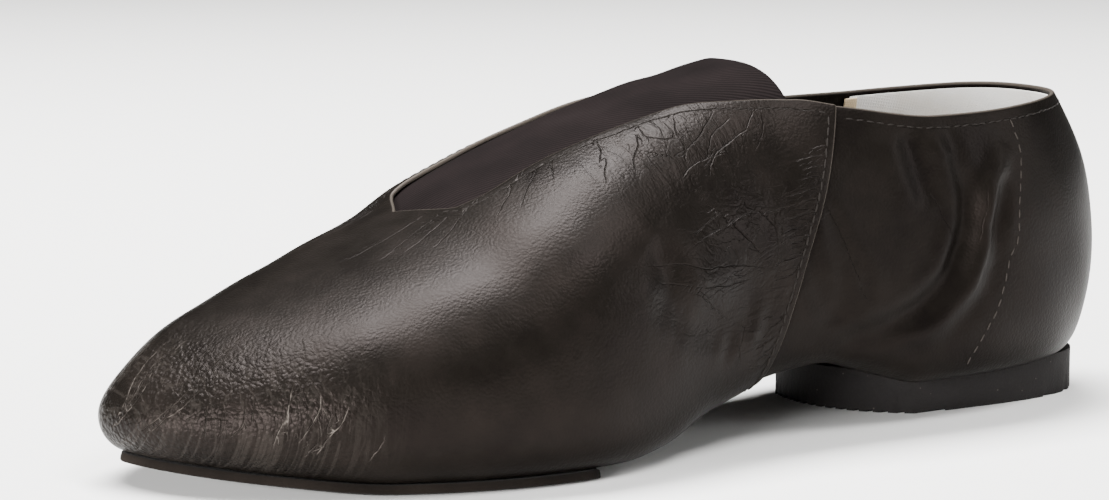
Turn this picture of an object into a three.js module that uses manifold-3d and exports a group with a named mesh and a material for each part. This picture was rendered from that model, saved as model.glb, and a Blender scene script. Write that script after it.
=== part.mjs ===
// Slip-on jazz shoe for the left foot: a soft leather upper with an elastic gore over the instep,
// a split sole made of a thin forefoot pad and a low heel block, an insole and a strip over the back seam.
// Millimetres. X runs from heel to toe, Y to the outer side of the foot, Z up from the floor.
import * as THREE from "three";
import { mergeVertices } from "three/addons/utils/BufferGeometryUtils.js";
import Module from "manifold-3d";

const wasm = await Module();
wasm.setup();

// Driving dimensions of the outside of the shoe.
const LENGTH = 248;
const BALL_WIDTH = 88;
const WAIST_WIDTH = 58;
const HEEL_WIDTH = 64;
const INSTEP_HEIGHT = 84;
const COLLAR_BACK_HEIGHT = 72;
const COLLAR_SIDE_HEIGHT = 69.5;
const COLLAR_SEAM_HEIGHT = 72.8;
const COLLAR_FRONT_HEIGHT = 74.5;

// Plan of the forefoot sole: its edge between the widest line (0) and the sole line (1), and the places
// of its rear corners and of the pull of its curved rear edge, as shares of the length.
const FOREFOOT_SOLE = { tuck: 0.72, lateralRear: 0.65, medialRear: 0.655, crown: 0.585 };

// The insole's edge as a share of the sole line, and the backstay's foot between the sole line (1) and
// the widest line (2).
const INSOLE_REACH = 0.96;
const BACKSTAY_FOOT = 1.35;

// Plan of the heel block: places as shares of the length, half widths and taper as shares of the heel's
// width, and the roundness of its back.
const HEEL_BLOCK = {
  back: 0.016,
  cornerEnd: 0.145,
  cornerPower: 2.6,
  lateral: 0.31,
  medial: 0.315,
  taper: 0.019,
  lateralFront: 0.242,
  medialFront: 0.294,
  crown: 0.323,
  crownShare: 0.4,
};

// Counts of stations in the heel, the middle and the toe, and of rows in each part of a profile.
const STATION_COUNTS = { heel: 7, middle: 21, toe: 9 };
const ROW_COUNTS = { underside: 2, tuck: 5, arch: 10, insole: 3, gore: 8, backstay: 8 };
const CURVE_STEPS = 10;
const SEAM_STEP = 0.2;
const THROAT_STEPS = [5, 1.5, 0];
const LEAN_PASSES = 4;
const HALVINGS = 22;
const MERGE_DISTANCE = 1e-3;
const NORMAL_STEP = 1e-3;
const LEAST_STATION_STEP = 0.018;

// Thicknesses, laps and clearances.
const WALL = 1.5;
const SEAM_LAP = 0.8;
const GAP = 0.3;
const INSOLE_THICKNESS = 1.8;
const FOREFOOT_SOLE_THICKNESS = 2;
const HEEL_BLOCK_HEIGHT = 9.8;
const GORE_THICKNESS = 1.1;
const BACKSTAY_THICKNESS = 0.9;
const BACKSTAY_WIDTH = 11;

// The side seams stand at the collar and slide forward by this share of their drop below it.
const SEAM_LEAN = 0.38;

// The raised edge of the vamp at the seams: where it starts and has sunk to the wall, ahead of them.
const LAP_START = 3;
const LAP_END = 16;

// The gore reaches this far under the throat's edge.
const GORE_LAP = 6;

// The underside's leather: how far out its inner edge lies, and where it closes over the waist.
const LASTING_EDGE = 0.68;
const HEEL_OPENING_END = 0.25;
const FOREFOOT_OPENING_START = 0.66;
const FOREFOOT_OPENING_ROUND = 0.08;

// Places along the length, as shares of it.
const HEEL_PIVOT_AT = 0.22;
const TOE_PIVOT_AT = 0.84;
const THROAT_POINT_AT = 0.728;
const GORE_END_AT = 0.407;
const SEAM_AT = 0.364;

// Shape of the ends: how far the toe's tip sits to the inner side as a share of the ball's width, how
// far the sole line lies inside the tips, and how far the ridge reaches past the toe pivot as a share.
const TOE_TIP_INSET = 0.193;
const TOE_TUCK = 7.5;
const HEEL_TUCK = 8;
const TOE_REACH = 0.5;
const MEDIAL_ARCH_LIFT = 5;

// Widest places of the plan, from heel to ball: where they are along the length, each side's share of
// that place's width, and how far the sole line lies inside it, as a share of the same width.
const PLAN = {
  lateral: [
    { at: HEEL_PIVOT_AT, width: HEEL_WIDTH, side: 0.51, tuck: 0.12 },
    { at: 0.43, width: WAIST_WIDTH, side: 0.53, tuck: 0.17 },
    { at: 0.665, width: BALL_WIDTH, side: 0.475, tuck: 0.1 },
  ],
  medial: [
    { at: HEEL_PIVOT_AT, width: HEEL_WIDTH, side: 0.49, tuck: 0.12 },
    { at: 0.46, width: WAIST_WIDTH, side: 0.47, tuck: 0.24 },
    { at: 0.73, width: BALL_WIDTH, side: 0.525, tuck: 0.1 },
  ],
};
const HEEL_ROUNDNESS = 2.2;
const TOE_ROUNDNESS = { lateral: 1.7, medial: 1.8 };
const SOLE_LINE_POINTEDNESS = 0.35;

// Sections along the length: the centre line (share of ball width), the heights of the widest line and
// of the top ridge (shares of instep height), and the fullness of the arch.
const SECTIONS = [
  { at: 0.0, centre: 0, widest: 0.43, ridge: 1.13, fullness: 1.95 },
  { at: 0.22, centre: 0, widest: 0.4, ridge: 1.13, fullness: 2.4 },
  { at: 0.4, centre: -0.06, widest: 0.4, ridge: 1.01, fullness: 2.7 },
  { at: 0.52, centre: -0.1, widest: 0.34, ridge: 0.905, fullness: 2.6 },
  { at: 0.6, centre: -0.125, widest: 0.3, ridge: 0.815, fullness: 2.6 },
  { at: 0.69, centre: -0.15, widest: 0.265, ridge: 0.69, fullness: 2.5 },
  { at: 0.73, centre: -0.16, widest: 0.255, ridge: 0.615, fullness: 2.4 },
  { at: 0.8, centre: -0.18, widest: 0.24, ridge: 0.53, fullness: 2.2 },
  { at: 0.92, centre: -0.195, widest: 0.185, ridge: 0.395, fullness: 2.0 },
  { at: 1.0, centre: -0.195, widest: 0.16, ridge: 0.28, fullness: 2.0 },
];

// Height of the upper's underside above its lowest level at the ball, as a share of the heel's rise.
const UNDERSIDE = [
  { at: 0.0, height: 1 },
  { at: 0.27, height: 0.87 },
  { at: 0.31, height: 1.2 },
  { at: 0.38, height: 1.75 },
  { at: 0.44, height: 1.5 },
  { at: 0.51, height: 0.88 },
  { at: 0.57, height: 0.2 },
  { at: 0.62, height: 0 },
  { at: 0.82, height: 0 },
  { at: 0.9, height: 0.22 },
  { at: 1.0, height: 0.6 },
];
const MEDIAL_ARCH = [
  { at: 0.0, height: 0 },
  { at: 0.28, height: 0 },
  { at: 0.44, height: 1 },
  { at: 0.62, height: 0 },
  { at: 1.0, height: 0 },
];

const heelPivotX = HEEL_PIVOT_AT * LENGTH;
const toePivotX = TOE_PIVOT_AT * LENGTH;
const seamX = SEAM_AT * LENGTH;
const throatX = THROAT_POINT_AT * LENGTH;
const goreEndX = GORE_END_AT * LENGTH;
const lowest = FOREFOOT_SOLE_THICKNESS + GAP;
const heelRise = HEEL_BLOCK_HEIGHT + GAP - lowest;
const { lerp, clamp, smoothstep } = THREE.MathUtils;
const RIGHT_ANGLE = Math.PI / 2;

// A monotone cubic through one column of a table, so that level stretches stay level.
function tableCurve(rows, column) {
  const at = rows.map((row) => row.at);
  const value = rows.map((row) => row[column]);
  const rise = at.slice(1).map((x, i) => (value[i + 1] - value[i]) / (x - at[i]));
  const slope = value.map((_, i) => {
    const before = rise[Math.max(i - 1, 0)];
    const after = rise[Math.min(i, rise.length - 1)];
    return before * after <= 0 ? 0 : (2 * before * after) / (before + after);
  });
  return (x) => {
    const share = clamp(x / LENGTH, 0, 1);
    const i = Math.max(at.findIndex((end, n) => n > 0 && share <= end), 1) - 1;
    const step = at[i + 1] - at[i];
    const t = (share - at[i]) / step;
    return (
      value[i] * (1 + 2 * t) * (1 - t) ** 2 +
      slope[i] * step * t * (1 - t) ** 2 +
      value[i + 1] * t * t * (3 - 2 * t) +
      slope[i + 1] * step * t * t * (t - 1)
    );
  };
}

const centreShare = tableCurve(SECTIONS, "centre");
const widestShare = tableCurve(SECTIONS, "widest");
const ridgeShare = tableCurve(SECTIONS, "ridge");
const fullness = tableCurve(SECTIONS, "fullness");
const undersideShare = tableCurve(UNDERSIDE, "height");
const medialArch = tableCurve(MEDIAL_ARCH, "height");

const centreY = (x) => centreShare(x) * BALL_WIDTH;
const widestZ = (x) => widestShare(x) * INSTEP_HEIGHT;
const ridgeZ = (x) => ridgeShare(x) * INSTEP_HEIGHT;

function undersideZ(x, y) {
  const towardsMedial = smoothstep(centreY(x) - y, 0, WAIST_WIDTH / 2);
  return lowest + heelRise * undersideShare(x) + MEDIAL_ARCH_LIFT * medialArch(x) * towardsMedial;
}

// Superellipse quarter: [reach along, reach across] as the angle goes from 0 to a right angle.
const quarter = (angle, power, alongPower = power) => [
  Math.max(Math.sin(angle), 0) ** (2 / alongPower),
  Math.max(Math.cos(angle), 0) ** (2 / power),
];

// Plan point on one side. tuck is 0 on the widest line and 1 on the sole line. station runs from 0 at
// the back seam, through 1 at the heel pivot and 2 at the toe pivot, to 3 at the toe tip.
function planPoint(side, tuck, station) {
  const sign = side === "lateral" ? 1 : -1;
  const [heel, waist, ball] = PLAN[side].map((row) => ({
    x: row.at * LENGTH,
    y: sign * row.width * (row.side - tuck * row.tuck),
  }));
  if (station < 1) {
    const [across, along] = quarter(station * RIGHT_ANGLE, HEEL_ROUNDNESS);
    return new THREE.Vector2(heel.x - (heel.x - tuck * HEEL_TUCK) * along, heel.y * across);
  }
  const x = lerp(heelPivotX, toePivotX, station - 1);
  if (x < ball.x) {
    const [from, to] = x < waist.x ? [heel, waist] : [waist, ball];
    return new THREE.Vector2(x, lerp(from.y, to.y, smoothstep(x, from.x, to.x)));
  }
  const reach = LENGTH - tuck * TOE_TUCK - ball.x;
  const angle =
    station < 2
      ? Math.asin((x - ball.x) / reach)
      : lerp(Math.asin((toePivotX - ball.x) / reach), RIGHT_ANGLE, station - 2);
  const power = TOE_ROUNDNESS[side] - tuck * SOLE_LINE_POINTEDNESS;
  const [along, across] = quarter(angle, power, 2);
  return new THREE.Vector2(ball.x + reach * along, lerp(-TOE_TIP_INSET * BALL_WIDTH, ball.y, across));
}

// Point of the spine that a station's profile rises to.
function spinePoint(station) {
  const middle = lerp(heelPivotX, toePivotX, clamp(station - 1, 0, 1));
  const toeShare = Math.sin(clamp(station - 2, 0, 1) * RIGHT_ANGLE);
  const x = middle + TOE_REACH * (LENGTH - toePivotX) * toeShare;
  return new THREE.Vector2(x, centreY(x));
}

// The last: level runs from 0 on the underside's centre line, through 1 on the sole line and 2 on the
// widest line, to 3 on the top ridge. Past an end, both carry on over the other side.
function lastPoint(side, station, level) {
  const other = side === "lateral" ? "medial" : "lateral";
  if (station < 0) return lastPoint(other, -station, level);
  if (station > 3) return lastPoint(other, 6 - station, level);
  if (level < 0) return lastPoint(other, station, -level);
  if (level > 3) return lastPoint(other, station, 6 - level);
  const spine = spinePoint(station);
  const sole = planPoint(side, 1, station);
  if (level <= 1) {
    const p = spine.lerp(sole, level);
    return new THREE.Vector3(p.x, p.y, undersideZ(p.x, p.y));
  }
  const wide = planPoint(side, 0, station);
  const wideZ = widestZ(wide.x);
  const power = fullness(wide.x);
  if (level <= 2) {
    const [out, left] = quarter((level - 1) * RIGHT_ANGLE, power);
    const p = sole.clone().lerp(wide, out);
    return new THREE.Vector3(p.x, p.y, lerp(wideZ, undersideZ(sole.x, sole.y), left));
  }
  const [up, out] = quarter((level - 2) * RIGHT_ANGLE, power);
  const p = spine.lerp(wide, out);
  return new THREE.Vector3(p.x, p.y, lerp(wideZ, ridgeZ(p.x), up));
}

// On the spine the profiles meet, so there the normal follows from the spine's slope.
function spineNormal(station, level) {
  const { x } = spinePoint(station);
  const height = level === 0 ? (at) => undersideZ(at, centreY(at)) : ridgeZ;
  const slope = (height(x + NORMAL_STEP) - height(x - NORMAL_STEP)) / (2 * NORMAL_STEP);
  const up = level === 0 ? -1 : 1;
  return new THREE.Vector3(-slope * up, 0, up).normalize();
}

function lastNormal(side, station, level) {
  if (level === 0 || level === 3) return spineNormal(station, level);
  const step = NORMAL_STEP;
  const along = lastPoint(side, station + step, level).sub(lastPoint(side, station - step, level));
  const up = lastPoint(side, station, level + step).sub(lastPoint(side, station, level - step));
  const normal = up.cross(along).normalize();
  return side === "lateral" ? normal : normal.negate();
}

const stationOf = (x) => 1 + (x - heelPivotX) / (toePivotX - heelPivotX);

// A cell on a station that leans with the seams, at the level that a function of the station gives.
function leaning(side, station, levelAt) {
  const fade =
    smoothstep(station, 1, stationOf(seamX)) * (1 - smoothstep(station, stationOf(goreEndX), 2));
  let slid = station;
  let level = levelAt(slid);
  for (let pass = 0; pass < LEAN_PASSES && fade > 0; pass++) {
    const drop = Math.max(COLLAR_FRONT_HEIGHT - lastPoint(side, slid, level).z, 0);
    slid = station + (SEAM_LEAN * fade * drop) / (toePivotX - heelPivotX);
    level = levelAt(slid);
  }
  return { side, station: slid, level };
}

// Level of the top edge: the collar's height behind the gore, then the throat up to the ridge.
const COLLAR = [
  { at: 0.0, height: COLLAR_BACK_HEIGHT },
  { at: 0.26, height: COLLAR_SIDE_HEIGHT },
  { at: SEAM_AT, height: COLLAR_SEAM_HEIGHT },
  { at: GORE_END_AT, height: COLLAR_FRONT_HEIGHT },
  { at: 1.0, height: COLLAR_FRONT_HEIGHT },
];
const collarZ = tableCurve(COLLAR, "height");

function levelAtHeight(side, station, height) {
  let low = 2;
  let high = 3;
  for (let i = 0; i < HALVINGS; i++) {
    const middle = (low + high) / 2;
    if (lastPoint(side, station, middle).z < height) low = middle;
    else high = middle;
  }
  return low;
}

// Level of the section's arch at a distance from the spine, and that distance at a level.
function levelAtShare(side, station, share) {
  const power = fullness(planPoint(side, 0, station).x);
  return 2 + Math.acos(clamp(share, 0, 1) ** (power / 2)) / RIGHT_ANGLE;
}

const halfWidth = (side, station) =>
  Math.abs(planPoint(side, 0, station).y - spinePoint(station).y);

function shareAtLevel(side, station, level) {
  return Math.abs(lastPoint(side, station, level).y - spinePoint(station).y) / halfWidth(side, station);
}

// The throat's opening as a share of the collar's front, along the way from there to its rounded point.
const THROAT = [
  { at: 0, opening: 1 },
  { at: 0.165, opening: 0.86 },
  { at: 0.32, opening: 0.68 },
  { at: 0.51, opening: 0.585 },
  { at: 0.695, opening: 0.51 },
  { at: 0.85, opening: 0.485 },
  { at: 0.93, opening: 0.42 },
  { at: 1, opening: 0 },
];
const throatOpening = tableCurve(THROAT, "opening");

function throatShare(side, station) {
  const start = stationOf(goreEndX);
  const front = shareAtLevel(side, start, levelAtHeight(side, start, COLLAR_FRONT_HEIGHT));
  const along = (station - start) / (stationOf(throatX) - start);
  return front * throatOpening(along * LENGTH);
}

function edgeLevel(side, station) {
  if (station >= stationOf(throatX)) return 3;
  if (station > stationOf(goreEndX)) return levelAtShare(side, station, throatShare(side, station));
  return levelAtHeight(side, station, collarZ(planPoint(side, 0, station).x));
}

// Level at which the underside's leather stops, 0 where it closes over the waist.
function openingLevel(station) {
  const x = spinePoint(station).x / LENGTH;
  const behind = (x - HEEL_PIVOT_AT) / (HEEL_OPENING_END - HEEL_PIVOT_AT);
  const ahead = 1 - (x - FOREFOOT_OPENING_START) / FOREFOOT_OPENING_ROUND;
  return LASTING_EDGE * Math.sqrt(1 - clamp(Math.min(behind, ahead), 0, 1) ** 2);
}

// Cells { side, station, level } in grids, joined into faces. Cells that meet become one point. Below the
// sole line the squares are halved the other way, so that no half lies on the line between the sides.
function skin(grids) {
  const seen = new Map();
  const points = [];
  const faces = [];
  const place = (cell) => {
    const onBoth = [0, 3].includes(cell.level) || [0, 3].includes(cell.station);
    const side = onBoth ? "lateral" : cell.side;
    const base = lastPoint(side, cell.station, cell.level);
    const key = base.toArray().map((v) => Math.round(v / MERGE_DISTANCE)).join();
    if (!seen.has(key)) {
      seen.set(key, points.length);
      points.push({ ...cell, base, normal: lastNormal(side, cell.station, cell.level) });
    }
    return seen.get(key);
  };
  for (const grid of grids) {
    const ids = grid.map((row) => row.map(place));
    const flip = grid[0][0].side === "lateral";
    for (let i = 0; i + 1 < ids.length; i++) {
      for (let j = 0; j + 1 < ids[i].length; j++) {
        const [a, b, c, d] = [ids[i][j], ids[i + 1][j], ids[i + 1][j + 1], ids[i][j + 1]];
        const low = grid[i][j].level < 1;
        const halves = low ? [[a, b, d], [b, c, d]] : [[a, b, c], [a, c, d]];
        for (const [p, q, r] of halves) {
          if (p !== q && q !== r && r !== p) faces.push(flip ? [p, r, q] : [p, q, r]);
        }
      }
    }
  }
  return { points, faces };
}

const movedOut = (point, offset) => point.base.clone().addScaledVector(point.normal, offset);

// A closed wall between the offsets low and high of its cells, with a rim around every open edge.
function shell(grids) {
  const { points, faces } = skin(grids);
  const count = points.length;
  const edges = new Set(faces.flatMap(([p, q, r]) => [[p, q], [q, r], [r, p]].map(String)));
  const index = faces.flatMap(([p, q, r]) => [p, q, r, p + count, r + count, q + count]);
  for (const edge of edges) {
    const [p, q] = edge.split(",").map(Number);
    if (edges.has([q, p].join())) continue;
    index.push(q, p, p + count, q, p + count, q + count);
  }
  const outer = points.map((point) => movedOut(point, point.high));
  const inner = points.map((point) => movedOut(point, point.low));
  return geometryOf([...outer, ...inner], index);
}

function geometryOf(points, index) {
  const geometry = new THREE.BufferGeometry().setFromPoints(points);
  return geometry.setIndex(index);
}

// Stations of the whole shoe: evenly spaced ones, with its named places kept clear of neighbours.
function stationList() {
  const { heel, middle, toe } = STATION_COUNTS;
  const strip = Math.asin((BACKSTAY_WIDTH / HEEL_WIDTH) ** (HEEL_ROUNDNESS / 2)) / RIGHT_ANGLE;
  const throat = THROAT_STEPS.map((step) => throatX - step);
  const places = [seamX - SEAM_STEP, seamX + SEAM_STEP, goreEndX, ...throat];
  const named = [0, strip / 2, strip, 1, 3, ...places.map(stationOf)];
  const even = [];
  for (let i = 1; i < heel; i++) even.push(lerp(strip, 1, i / heel));
  for (let i = 1; i <= middle; i++) even.push(1 + i / middle);
  for (let i = 1; i < toe; i++) even.push(2 + i / toe);
  const clear = even.filter((s) => named.every((n) => Math.abs(n - s) > LEAST_STATION_STEP));
  return [...named, ...clear].sort((a, b) => a - b);
}
const STATIONS = stationList();

const steps = (count, from, to) =>
  Array.from({ length: count + 1 }, (_, i) => lerp(from, to, i / count));

function profileLevels(bottom, top) {
  const { underside, tuck, arch } = ROW_COUNTS;
  const below = [...steps(underside, bottom, 1).slice(0, -1), ...steps(tuck, 1, 2).slice(0, -1)];
  return [...below, ...steps(arch, 2, top)];
}
const profileRows = profileLevels(0, 3).map((_, j) => j);

// Grids of both sides: a row for each station, a cell for each of the levels that a function gives.
function bothSides(stations, rows, cellOf) {
  return ["lateral", "medial"].map((side) =>
    stations.map((station) => rows.map((row) => cellOf(side, station, row))),
  );
}

// The vamp's edge rides over the quarter at the seam and sinks back to the wall ahead of it.
function lapAt(x) {
  return x < seamX ? 0 : SEAM_LAP * (1 - smoothstep(x, seamX + LAP_START, seamX + LAP_END));
}

function makeUpper() {
  const cellOf = (side, station, row) => ({
    ...leaning(side, station, (s) => profileLevels(openingLevel(s), edgeLevel(side, s))[row]),
    low: -WALL,
    high: lapAt(lerp(heelPivotX, toePivotX, station - 1)),
  });
  return shell(bothSides(STATIONS, profileRows, cellOf));
}

// Solid inside the last, moved out by an offset.
function lastBody(offset) {
  const cellOf = (side, station, row) =>
    leaning(side, station, () => profileLevels(0, 3)[row]);
  const { points, faces } = skin(bothSides(STATIONS, profileRows, cellOf));
  return geometryOf(points.map((point) => movedOut(point, offset)), faces.flat());
}

function solidOf(geometry) {
  const bare = geometry.clone();
  bare.deleteAttribute("normal");
  bare.deleteAttribute("uv");
  const merged = mergeVertices(bare);
  return new wasm.Manifold(
    new wasm.Mesh({
      numProp: 3,
      vertProperties: merged.getAttribute("position").array,
      triVerts: new Uint32Array(merged.getIndex().array),
    }),
  );
}

function geometryFrom(solid) {
  const mesh = solid.getMesh();
  const points = [];
  for (let i = 0; i < mesh.numVert; i++) {
    points.push(new THREE.Vector3().fromArray(mesh.vertProperties, i * mesh.numProp));
  }
  return geometryOf(points, Array.from(mesh.triVerts));
}

// Upright prism over a plan outline.
function prism(points, bottom, top) {
  const shape = new THREE.Shape(points);
  const geometry = new THREE.ExtrudeGeometry(shape, { depth: top - bottom, bevelEnabled: false });
  return geometry.translate(0, 0, bottom);
}

const gapBody = solidOf(lastBody(GAP));

function makeHeelBlock() {
  const { back, cornerEnd, cornerPower, lateral, medial, taper, crownShare } = HEEL_BLOCK;
  const at = (along, across) => new THREE.Vector2(along * LENGTH, across * HEEL_WIDTH);
  const corner = (side) => (turn) => {
    const [across, along] = quarter(turn * RIGHT_ANGLE, cornerPower);
    return at(lerp(cornerEnd, back, along), side * across);
  };
  const from = at(HEEL_BLOCK.lateralFront, lateral - taper);
  const to = at(HEEL_BLOCK.medialFront, taper - medial);
  const crown = at(HEEL_BLOCK.crown, 0).setY(lerp(from.y, to.y, crownShare));
  const breast = new THREE.QuadraticBezierCurve(from, crown, to);
  const rim = [
    ...steps(CURVE_STEPS, 0, 1).map(corner(lateral)),
    ...breast.getPoints(CURVE_STEPS),
    ...steps(CURVE_STEPS, 1, 0).slice(0, -1).map(corner(-medial)),
  ];
  return geometryFrom(solidOf(prism(rim, 0, HEEL_BLOCK_HEIGHT)).subtract(gapBody));
}

function makeForefootSole() {
  const { tuck, lateralRear, medialRear, crown } = FOREFOOT_SOLE;
  const lateralCorner = stationOf(lateralRear * LENGTH);
  const medialCorner = stationOf(medialRear * LENGTH);
  const from = planPoint("medial", tuck, medialCorner);
  const to = planPoint("lateral", tuck, lateralCorner);
  const pull = new THREE.Vector2(crown * LENGTH, (from.y + to.y) / 2);
  const rear = new THREE.QuadraticBezierCurve(from, pull, to);
  const edge = (side, start) => steps(2 * CURVE_STEPS, start, 3).map((s) => planPoint(side, tuck, s));
  const rim = [
    ...rear.getPoints(CURVE_STEPS).slice(1, -1),
    ...edge("lateral", lateralCorner),
    ...edge("medial", medialCorner).slice(0, -1).reverse(),
  ];
  const column = solidOf(prism(rim, -GAP, widestZ(toePivotX)));
  const outside = solidOf(lastBody(GAP + FOREFOOT_SOLE_THICKNESS));
  return geometryFrom(column.intersect(outside).subtract(gapBody));
}

// Top of what lies inside the wall, measured from the last.
const LINING_LEVEL = -WALL - GAP;

function makeInsole() {
  const cellOf = (side, station, level) => ({
    ...leaning(side, station, () => level),
    low: LINING_LEVEL - INSOLE_THICKNESS,
    high: LINING_LEVEL,
  });
  return shell(bothSides(STATIONS, steps(ROW_COUNTS.insole, 0, INSOLE_REACH), cellOf));
}

// The gore's edge lies under the leather, beside the throat and ahead of its point.
function goreLevel(side, station) {
  const ahead = (station - stationOf(throatX)) * (toePivotX - heelPivotX);
  const lap = GORE_LAP * Math.sqrt(1 - clamp(ahead / GORE_LAP, 0, 1) ** 2);
  const open = ahead < 0 ? shareAtLevel(side, station, edgeLevel(side, station)) : 0;
  return levelAtShare(side, station, open + lap / halfWidth(side, station));
}

function makeGore() {
  const end = stationOf(throatX + GORE_LAP);
  const inside = STATIONS.filter((s) => s >= stationOf(goreEndX) && s < end - LEAST_STATION_STEP);
  const cellOf = (side, station, share) => ({
    ...leaning(side, station, (s) => lerp(goreLevel(side, s), 3, share)),
    low: LINING_LEVEL - GORE_THICKNESS,
    high: LINING_LEVEL,
  });
  return shell(bothSides([...inside, end], steps(ROW_COUNTS.gore, 0, 1), cellOf));
}

function makeBackstay() {
  const cellOf = (side, station, share) => ({
    side,
    station,
    level: lerp(BACKSTAY_FOOT, edgeLevel(side, station), share),
    low: GAP,
    high: GAP + BACKSTAY_THICKNESS,
  });
  return shell(bothSides(STATIONS.slice(0, 3), steps(ROW_COUNTS.backstay, 0, 1), cellOf));
}

function finish(color, roughness) {
  return new THREE.MeshStandardMaterial({ color, roughness, metalness: 0 });
}
const leather = finish(0x1b1718, 0.42);
const elastic = finish(0x241e21, 0.75);
const crepe = finish(0x1c1a19, 0.85);
const suede = finish(0x241f1b, 0.95);
const sock = finish(0x2a2626, 0.8);

const pieces = [
  ["upper", makeUpper(), leather],
  ["backstay", makeBackstay(), leather],
  ["gore", makeGore(), elastic],
  ["insole", makeInsole(), sock],
  ["forefoot_sole", makeForefootSole(), suede],
  ["heel_block", makeHeelBlock(), crepe],
];

const shoe = new THREE.Group();
for (const [name, geometry, material] of pieces) {
  const mesh = new THREE.Mesh(geometry, material);
  mesh.name = name;
  shoe.add(mesh);
}

// The origin is on the floor under the middle of the shoe's box.
const middle = new THREE.Box3().setFromObject(shoe).getCenter(new THREE.Vector3());
shoe.position.set(-middle.x, -middle.y, 0);

export default shoe;
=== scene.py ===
"""Looks of a left jazz shoe: worn black leather, an elastic gore, a suede pad and a rubber heel.

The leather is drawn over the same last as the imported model, in its maker's frame: millimetres,
X from the back of the heel to the toe, Y to the outer side of the foot, Z up from the floor.
"""

import math
from collections import namedtuple

import bmesh
import bpy
import numpy as np
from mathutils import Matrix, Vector


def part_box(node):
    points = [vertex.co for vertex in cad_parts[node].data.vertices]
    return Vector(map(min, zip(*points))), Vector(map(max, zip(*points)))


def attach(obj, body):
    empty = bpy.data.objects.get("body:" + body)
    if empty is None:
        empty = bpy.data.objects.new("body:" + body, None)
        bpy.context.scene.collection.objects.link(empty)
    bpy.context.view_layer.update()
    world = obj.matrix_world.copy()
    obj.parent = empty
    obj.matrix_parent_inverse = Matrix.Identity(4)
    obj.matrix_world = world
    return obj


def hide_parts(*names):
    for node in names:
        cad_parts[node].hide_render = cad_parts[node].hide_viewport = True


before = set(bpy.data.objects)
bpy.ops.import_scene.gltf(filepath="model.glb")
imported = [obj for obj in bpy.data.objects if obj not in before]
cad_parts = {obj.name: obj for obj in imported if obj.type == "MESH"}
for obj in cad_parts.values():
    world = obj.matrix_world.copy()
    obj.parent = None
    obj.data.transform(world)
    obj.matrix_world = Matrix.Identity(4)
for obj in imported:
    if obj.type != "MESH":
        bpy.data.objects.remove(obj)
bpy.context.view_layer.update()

MM = 0.001
SIDES = (1, -1)  # Outer and inner.

# Sizes of the outside of the shoe, in millimetres, as in the part's source.
LENGTH = 248
BALL_WIDTH = 88
WAIST_WIDTH = 58
HEEL_WIDTH = 64
INSTEP_HEIGHT = 84
COLLAR_BACK_HEIGHT = 72
COLLAR_SIDE_HEIGHT = 69.5
COLLAR_SEAM_HEIGHT = 72.8
COLLAR_FRONT_HEIGHT = 74.5
GAP = 0.3
FOREFOOT_SOLE_THICKNESS = 2
HEEL_BLOCK_HEIGHT = 9.8
SEAM_LEAN = 0.38
GORE_LAP = 6

# Places along the length, as shares of it.
HEEL_PIVOT_AT = 0.22
TOE_PIVOT_AT = 0.84
THROAT_POINT_AT = 0.728
GORE_END_AT = 0.407
SEAM_AT = 0.364

# How the ends close: tucks in millimetres, the toe's inset as a share of the ball's width.
TOE_TIP_INSET = 0.193
TOE_TUCK = 7.5
HEEL_TUCK = 8
TOE_REACH = 0.5
MEDIAL_ARCH_LIFT = 5
HEEL_ROUNDNESS = 2.2
TOE_ROUNDNESS = {1: 1.7, -1: 1.8}
SOLE_LINE_POINTEDNESS = 0.35
LASTING_EDGE = 0.68
HEEL_OPENING_END = 0.25
FOREFOOT_OPENING_START = 0.66
FOREFOOT_OPENING_ROUND = 0.08

# Widest places of the plan on the outer side (1) and the inner side (-1), as shares.
Place = namedtuple("Place", "at width side tuck")
PLAN = {
    1: [
        Place(HEEL_PIVOT_AT, HEEL_WIDTH, 0.51, 0.12),
        Place(0.43, WAIST_WIDTH, 0.53, 0.17),
        Place(0.665, BALL_WIDTH, 0.475, 0.1),
    ],
    -1: [
        Place(HEEL_PIVOT_AT, HEEL_WIDTH, 0.49, 0.12),
        Place(0.46, WAIST_WIDTH, 0.47, 0.24),
        Place(0.73, BALL_WIDTH, 0.525, 0.1),
    ],
}

# Sections along the length: shares of ball width, of instep height twice, and the arch's fullness.
Section = namedtuple("Section", "at centre widest ridge fullness")
SECTIONS = [
    Section(0.0, 0, 0.43, 1.13, 1.95),
    Section(0.22, 0, 0.4, 1.13, 2.4),
    Section(0.4, -0.06, 0.4, 1.01, 2.7),
    Section(0.52, -0.1, 0.34, 0.905, 2.6),
    Section(0.6, -0.125, 0.3, 0.815, 2.6),
    Section(0.69, -0.15, 0.265, 0.69, 2.5),
    Section(0.73, -0.16, 0.255, 0.615, 2.4),
    Section(0.8, -0.18, 0.24, 0.53, 2.2),
    Section(0.92, -0.195, 0.185, 0.395, 2.0),
    Section(1.0, -0.195, 0.16, 0.28, 2.0),
]
Height = namedtuple("Height", "at height")
UNDERSIDE = [
    Height(0.0, 1), Height(0.27, 0.87), Height(0.31, 1.2), Height(0.38, 1.75),
    Height(0.44, 1.5), Height(0.51, 0.88), Height(0.57, 0.2), Height(0.62, 0),
    Height(0.82, 0), Height(0.9, 0.22), Height(1.0, 0.6),
]
MEDIAL_ARCH = [Height(0.0, 0), Height(0.28, 0), Height(0.44, 1), Height(0.62, 0), Height(1.0, 0)]
COLLAR = [
    Height(0.0, COLLAR_BACK_HEIGHT), Height(0.26, COLLAR_SIDE_HEIGHT),
    Height(SEAM_AT, COLLAR_SEAM_HEIGHT), Height(GORE_END_AT, COLLAR_FRONT_HEIGHT),
    Height(1.0, COLLAR_FRONT_HEIGHT),
]
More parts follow.
